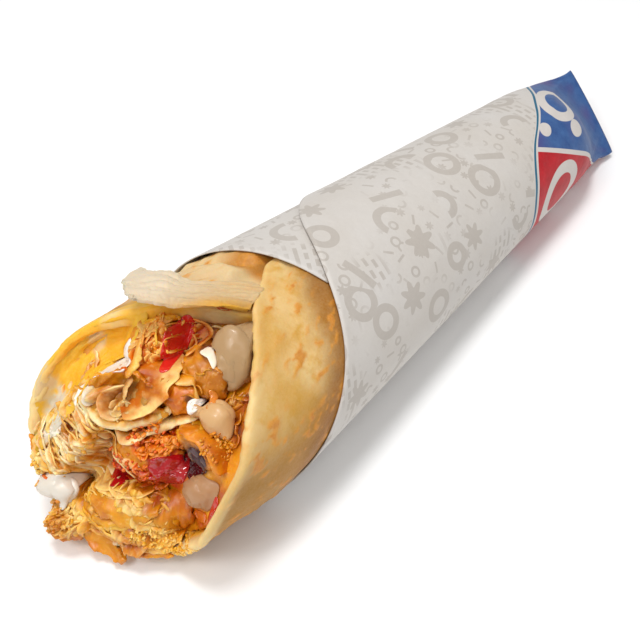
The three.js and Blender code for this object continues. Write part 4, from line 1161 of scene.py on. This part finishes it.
surface.inputs["Roughness"].default_value = 0.52
surface.inputs["IOR"].default_value = 1.45
surface.inputs["Subsurface Weight"].default_value = 0.08
surface.inputs["Subsurface Radius"].default_value = (0.002, 0.002, 0.002)
crinkle = node(tree, "ShaderNodeTexVoronoi", {"Vector": flat, "Scale": 0.11}, feature="DISTANCE_TO_EDGE",
               voronoi_dimensions="2D")
soft = node(tree, "ShaderNodeTexNoise", {"Vector": flat, "Scale": 0.14, "Detail": 3.0, "Roughness": 0.5})
surface_height = math_of("ADD", math_of("MULTIPLY", fibre, 0.1),
                         math_of("ADD", math_of("MULTIPLY", soft, 0.9), math_of("MULTIPLY", crinkle, 0.12)))
bump = node(tree, "ShaderNodeBump", {"Height": surface_height, "Strength": 0.28, "Distance": 0.0016})
tree.links.new(bump, surface.inputs["Normal"])
print("paper nodes:", len(tree.nodes))

# %% [markdown]
# ## Baked flatbread
# Flatbread is a soft wheat dough baked on a hot plate: a pale matt crumb with a slightly oily skin,
# golden where it blistered and brown where a blister touched the iron. Light goes a little way into
# it, so it gets some subsurface scattering. The toast number that raised its blisters also colours
# them.

# %% Bread material
bread_look, tree, surface = new_material("baked_flatbread")
place = node(tree, "ShaderNodeTexCoord", out=3)
winding = node(tree, "ShaderNodeAttribute", attribute_name="winding", out=2)
from_rim = node(tree, "ShaderNodeAttribute", attribute_name="from_rim", out=2)
inner = node(tree, "ShaderNodeAttribute", attribute_name="inner", out=2)
toasted = node(tree, "ShaderNodeAttribute", attribute_name="toast", out=2)
large = node(tree, "ShaderNodeTexNoise", {"Vector": place, "Scale": 60.0, "Detail": 3.0})
fine = node(tree, "ShaderNodeTexNoise", {"Vector": place, "Scale": 420.0, "Detail": 5.0, "Roughness": 0.6})
grain = node(tree, "ShaderNodeTexNoise", {"Vector": place, "Scale": 1500.0, "Detail": 3.0})
near_paper = node(tree, "ShaderNodeAttribute", attribute_name="to_paper", out=2)
milk = node(tree, "ShaderNodeAttribute", attribute_name="milk", out=2)
dough = blend(math_of("MULTIPLY_ADD", large, 3.0, -1.0, clamp=True), linear("#e3c78e"), linear("#ce9f50"))
mottle = node(tree, "ShaderNodeTexNoise", {"Vector": place, "Scale": 170.0, "Detail": 4.0, "Roughness": 0.55})
dough = blend(math_of("MULTIPLY_ADD", mottle, 5.0, -2.5, clamp=True), dough, linear("#ca9735"))
# Painted shade: lower down the near side the outside of the bread is painted a deeper gold, and by the paper darker
# still.
lower_side_shade = node(tree, "ShaderNodeMapRange", {0: winding, 1: 303.0, 2: 270.0}, interpolation_type="SMOOTHSTEP")
# Painted shade: by the paper's edge the bread lies in the crevice under the paper, so it is painted darker there.
paper_edge_shade = node(tree, "ShaderNodeMapRange", {0: math_of("MULTIPLY_ADD", large, -8.0, math_of("ADD", near_paper, 4.0)),
                                             1: 14.0, 2: 3.0}, interpolation_type="SMOOTHSTEP")
outside = math_of("SUBTRACT", 1.0, inner)
dough = blend(math_of("MULTIPLY", math_of("MULTIPLY", lower_side_shade, 0.92), outside), dough, linear("#a06c0a"))
on_top = node(tree, "ShaderNodeMapRange", {0: winding, 1: 118.0, 2: 52.0}, interpolation_type="SMOOTHSTEP")
valley = node(tree, "ShaderNodeMapRange", {0: winding, 1: 36.0, 2: 18.0}, interpolation_type="SMOOTHSTEP")
valley_near = node(tree, "ShaderNodeMapRange", {0: near_paper, 1: 8.0, 2: 4.0}, interpolation_type="SMOOTHSTEP")
valley = math_of("MULTIPLY", valley, valley_near)
# By the paper: painted shade, brown away from the top and deep gold in the valley on top; elsewhere on top the bread is
# cream.
shade_and_cream_by_paper = blend(on_top, linear("#925a14"), blend(valley, linear("#d8bd8a"), linear("#b8740c")))
behind_rim = node(tree, "ShaderNodeMapRange", {0: from_rim, 1: 7.0, 2: 12.0}, interpolation_type="SMOOTHSTEP")
folded = math_of("MULTIPLY", math_of("MULTIPLY", on_top, behind_rim), outside)
dough = blend(math_of("MULTIPLY", folded, 0.8), dough, linear("#dac196"))
dough = blend(math_of("MULTIPLY", math_of("MULTIPLY", paper_edge_shade, 0.9), outside), dough, shade_and_cream_by_paper)
dough = blend(math_of("MULTIPLY", toasted, 0.9), dough, linear("#d48d2c"))
specks = math_of("MULTIPLY_ADD", math_of("MULTIPLY", fine, toasted), 2.6, -0.95, clamp=True)
dough = blend(specks, dough, linear("#bd7428"))
wall_noise = math_of("MULTIPLY_ADD", large, 4.0, -1.7, clamp=True)
wall = blend(wall_noise, linear("#edac16"), linear("#efbc38"))
past_rim = node(tree, "ShaderNodeMapRange", {0: from_rim, 1: 2.5, 2: 6.0}, interpolation_type="SMOOTHSTEP")
inside_wall = math_of("MULTIPLY", inner, past_rim)
dough = blend(inside_wall, dough, wall)
pale_rim = node(tree, "ShaderNodeMapRange", {0: from_rim, 1: 4.5, 2: 1.0}, interpolation_type="SMOOTHSTEP")
far_side = node(tree, "ShaderNodeMapRange", {0: winding, 1: 290.0, 2: 230.0, 3: 0.25, 4: 0.75})
dough = blend(math_of("MULTIPLY", pale_rim, far_side), dough, linear("#f6dfa0"))
top_rim = node(tree, "ShaderNodeMapRange", {0: winding, 1: 95.0, 2: 70.0}, interpolation_type="SMOOTHSTEP")
near_rim = node(tree, "ShaderNodeMapRange", {0: from_rim, 1: 11.0, 2: 6.0}, interpolation_type="SMOOTHSTEP")
buttery = math_of("MULTIPLY", math_of("MULTIPLY", top_rim, near_rim),
                  math_of("MULTIPLY_ADD", large, 5.0, -1.7, clamp=True))
dough = blend(buttery, dough, linear("#f4b52c"))
dough = blend(math_of("MULTIPLY_ADD", grain, 0.5, -0.15, clamp=True), dough, blend(0.35, dough, linear("#f6e2b0")))
dough = blend(milk, dough, linear("#d8cbb4"))
tree.links.new(dough, surface.inputs["Base Color"])
surface.inputs["Roughness"].default_value = 0.5
surface.inputs["Specular IOR Level"].default_value = 0.28
surface.inputs["Subsurface Weight"].default_value = 0.25
surface.inputs["Subsurface Radius"].default_value = (0.003, 0.0016, 0.0007)
surface.inputs["Subsurface Scale"].default_value = 0.8
relief = math_of("ADD", math_of("MULTIPLY", fine, 0.7), math_of("MULTIPLY", grain, 0.3))
bump = node(tree, "ShaderNodeBump", {"Height": relief, "Strength": 0.35, "Distance": 0.0006})
tree.links.new(bump, surface.inputs["Normal"])
print("bread nodes:", len(tree.nodes))

# %% [markdown]
# ## Fried coat
# The coat is flour and starch fried crisp: gold to amber, paler at its thin edges, and slick where
# sauce has run over it. The painted colour comes from the vertices. Fine noise darkens its pits and
# lights its crumbs, and the same noise raises the bump.

# %% Coat material
coat_look, tree, surface = new_material("fried_chicken_coat")
place = node(tree, "ShaderNodeTexCoord", out=3)
tint = node(tree, "ShaderNodeAttribute", attribute_name="tint")
grit = node(tree, "ShaderNodeTexNoise", {"Vector": place, "Scale": 520.0, "Detail": 6.0, "Roughness": 0.62})
patch = node(tree, "ShaderNodeTexNoise", {"Vector": place, "Scale": 150.0, "Detail": 3.0})
darker = blend(1.0, tint, linear("#c98a4a"))
darker.node.blend_type = "MULTIPLY"
colour = blend(math_of("MULTIPLY_ADD", patch, -3.2, 1.85, clamp=True), tint, darker)
lighter = blend(0.4, colour, linear("#f8e3b4"))
colour = blend(math_of("MULTIPLY_ADD", grit, 4.0, -2.2, clamp=True), colour, lighter)
# Hot oil leaves the coat a clear, warm gold.
colour = node(tree, "ShaderNodeHueSaturation", {"Saturation": 1.1, "Value": 1.1, "Color": colour})
tree.links.new(colour, surface.inputs["Base Color"])
gloss = math_of("MULTIPLY_ADD", patch, 0.5, 0.16, clamp=True)
tree.links.new(gloss, surface.inputs["Roughness"])
surface.inputs["Subsurface Weight"].default_value = 0.3
surface.inputs["Subsurface Radius"].default_value = (0.0032, 0.0014, 0.0005)
surface.inputs["Subsurface Scale"].default_value = 0.7
surface.inputs["Coat Weight"].default_value = 0.15
surface.inputs["Coat Roughness"].default_value = 0.2
bump = node(tree, "ShaderNodeBump", {"Height": grit, "Strength": 0.35, "Distance": 0.0007})
tree.links.new(bump, surface.inputs["Normal"])

# %% [markdown]
# ## Sauce materials
# Garlic sauce is an emulsion: opaque white with a wet skin. Chilli jelly is clear red and thick, so
# light goes deep into it and its skin mirrors the lamps.

# %% Sauce looks
def sauce(name, roughness, depth, weight, coat):
    """A wet sauce whose colour is the painted one."""
    look, tree, surface = new_material(name)
    tint = node(tree, "ShaderNodeAttribute", attribute_name="tint")
    tree.links.new(tint, surface.inputs["Base Color"])
    surface.inputs["Roughness"].default_value = roughness
    surface.inputs["Subsurface Weight"].default_value = weight
    surface.inputs["Subsurface Radius"].default_value = depth
    surface.inputs["Coat Weight"].default_value = coat
    surface.inputs["Coat Roughness"].default_value = 0.06
    place = node(tree, "ShaderNodeTexCoord", out=3)
    ripple = node(tree, "ShaderNodeTexNoise", {"Vector": place, "Scale": 260.0, "Detail": 2.0})
    bump = node(tree, "ShaderNodeBump", {"Height": ripple, "Strength": 0.15, "Distance": 0.001})
    tree.links.new(bump, surface.inputs["Normal"])
    return look


garlic_look = sauce("creamy_garlic_sauce", 0.38, (0.003, 0.0025, 0.002), 0.35, 0.14)
chilli_look = sauce("clear_chilli_jelly", 0.1, (0.004, 0.0006, 0.0003), 0.3, 0.6)
oily_look = sauce("oily_orange_sauce", 0.18, (0.003, 0.0012, 0.0004), 0.4, 0.5)


def finished(look, slot, *pieces):
    """Gives pieces their material and hangs them on the root body; the slot is not used."""
    for piece in pieces:
        piece.data.materials.clear()
        piece.data.materials.append(look)
        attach(piece, "root")


finished(paper_look, "paper", paper)
finished(bread_look, "flatbread", bread, tongue, fold)
finished(coat_look, "chicken", core, core_back, crumbs, *body.values())
finished(garlic_look, "white_sauce", mayo_corner, mayo_top, mayo_left, slice_right, mayo_right, mayo_lower)
finished(chilli_look, "red_sauce", chilli_top, chilli_middle, chilli_left)
finished(oily_look, "red_sauce", oily)

# %% [markdown]
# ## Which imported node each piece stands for
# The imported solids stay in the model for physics. Each dressed piece hides the one it stands for.

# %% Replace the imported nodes
for piece, *names in [(paper, "paper_sheet"), (bread, "flatbread"), (tongue, "torn_tongue"), (core, "chicken_core"),
                      (mayo_corner, "white_sauce_corner"), (mayo_top, "white_sauce_top"),
                      (mayo_left, "white_sauce_left"), (slice_right, "white_sauce_slice"),
                      (mayo_right, "white_sauce_right"), (mayo_lower, "white_sauce_lower"),
                      (chilli_top, "red_sauce_top"), (chilli_middle, "red_sauce_middle"),
                      (chilli_left, "red_sauce_left"), *[(piece, name) for name, piece in body.items()]]:
    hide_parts(*names)

# %% [markdown]
# ## Studio
# The picture was taken from above and in front of the mouth, on a white ground in soft light that
# comes mostly from behind the wrap on the left, so its shadow lies on the near right side.

# %% Floor, lights and camera
bpy.ops.object.select_all(action="DESELECT")
bpy.ops.mesh.primitive_plane_add(size=6, location=(0, 0, -0.00006))
floor = bpy.context.object
floor.name = "floor"
floor_look, tree, surface = new_material("white_studio_floor")
surface.inputs["Base Color"].default_value = linear("#fafafa")
surface.inputs["Roughness"].default_value = 0.9
surface.inputs["Specular IOR Level"].default_value = 0.1
floor.data.materials.append(floor_look)

world = bpy.data.worlds.new("soft_studio")
bpy.context.scene.world = world
world.use_nodes = True
world.node_tree.nodes["Background"].inputs[0].default_value = linear("#ffffff")
world.node_tree.nodes["Background"].inputs[1].default_value = 0.44


def lamp(name, place, aim, size, power):
    """A soft square lamp at a place in metres, aimed at a point."""
    light = bpy.data.lights.new(name, "AREA")
    light.shape = "SQUARE"
    light.size = size
    light.energy = power
    holder = bpy.data.objects.new(name, light)
    bpy.context.scene.collection.objects.link(holder)
    holder.location = place
    holder.rotation_euler = (Vector(aim) - Vector(place)).to_track_quat("-Z", "Y").to_euler()
    return holder


lamp("key_lamp", (-0.1, 0.06, 1.1), (0, 0, 0.03), 0.26, 5.4)
lamp("fill_lamp", (-0.2, -0.5, 0.95), (0, 0, 0.03), 0.5, 1.5)
lamp("front_lamp", (-0.62, 0.02, 0.8), (-0.08, 0, 0.03), 0.3, 2.9)

AZIMUTH, ELEVATION, DISTANCE = math.radians(-49.2246), math.radians(46.5), 321.95
TARGET = Vector((62.71, 0, 20.2))
back = Vector((math.sin(AZIMUTH) * math.cos(ELEVATION), -math.cos(AZIMUTH) * math.cos(ELEVATION),
               math.sin(ELEVATION)))
right = Vector((math.cos(AZIMUTH), math.sin(AZIMUTH), 0))
camera_data = bpy.data.cameras.new("camera")
camera_data.lens, camera_data.sensor_width = 60, 36
camera_data.clip_start = 0.01
camera = bpy.data.objects.new("camera", camera_data)
bpy.context.scene.collection.objects.link(camera)
camera.matrix_world = Matrix.Translation(to_frame(TARGET + back * DISTANCE)) @ Matrix(
    (right, back.cross(right), back)).transposed().to_4x4()
bpy.context.scene.camera = camera
bpy.context.scene.view_settings.view_transform = "Standard"
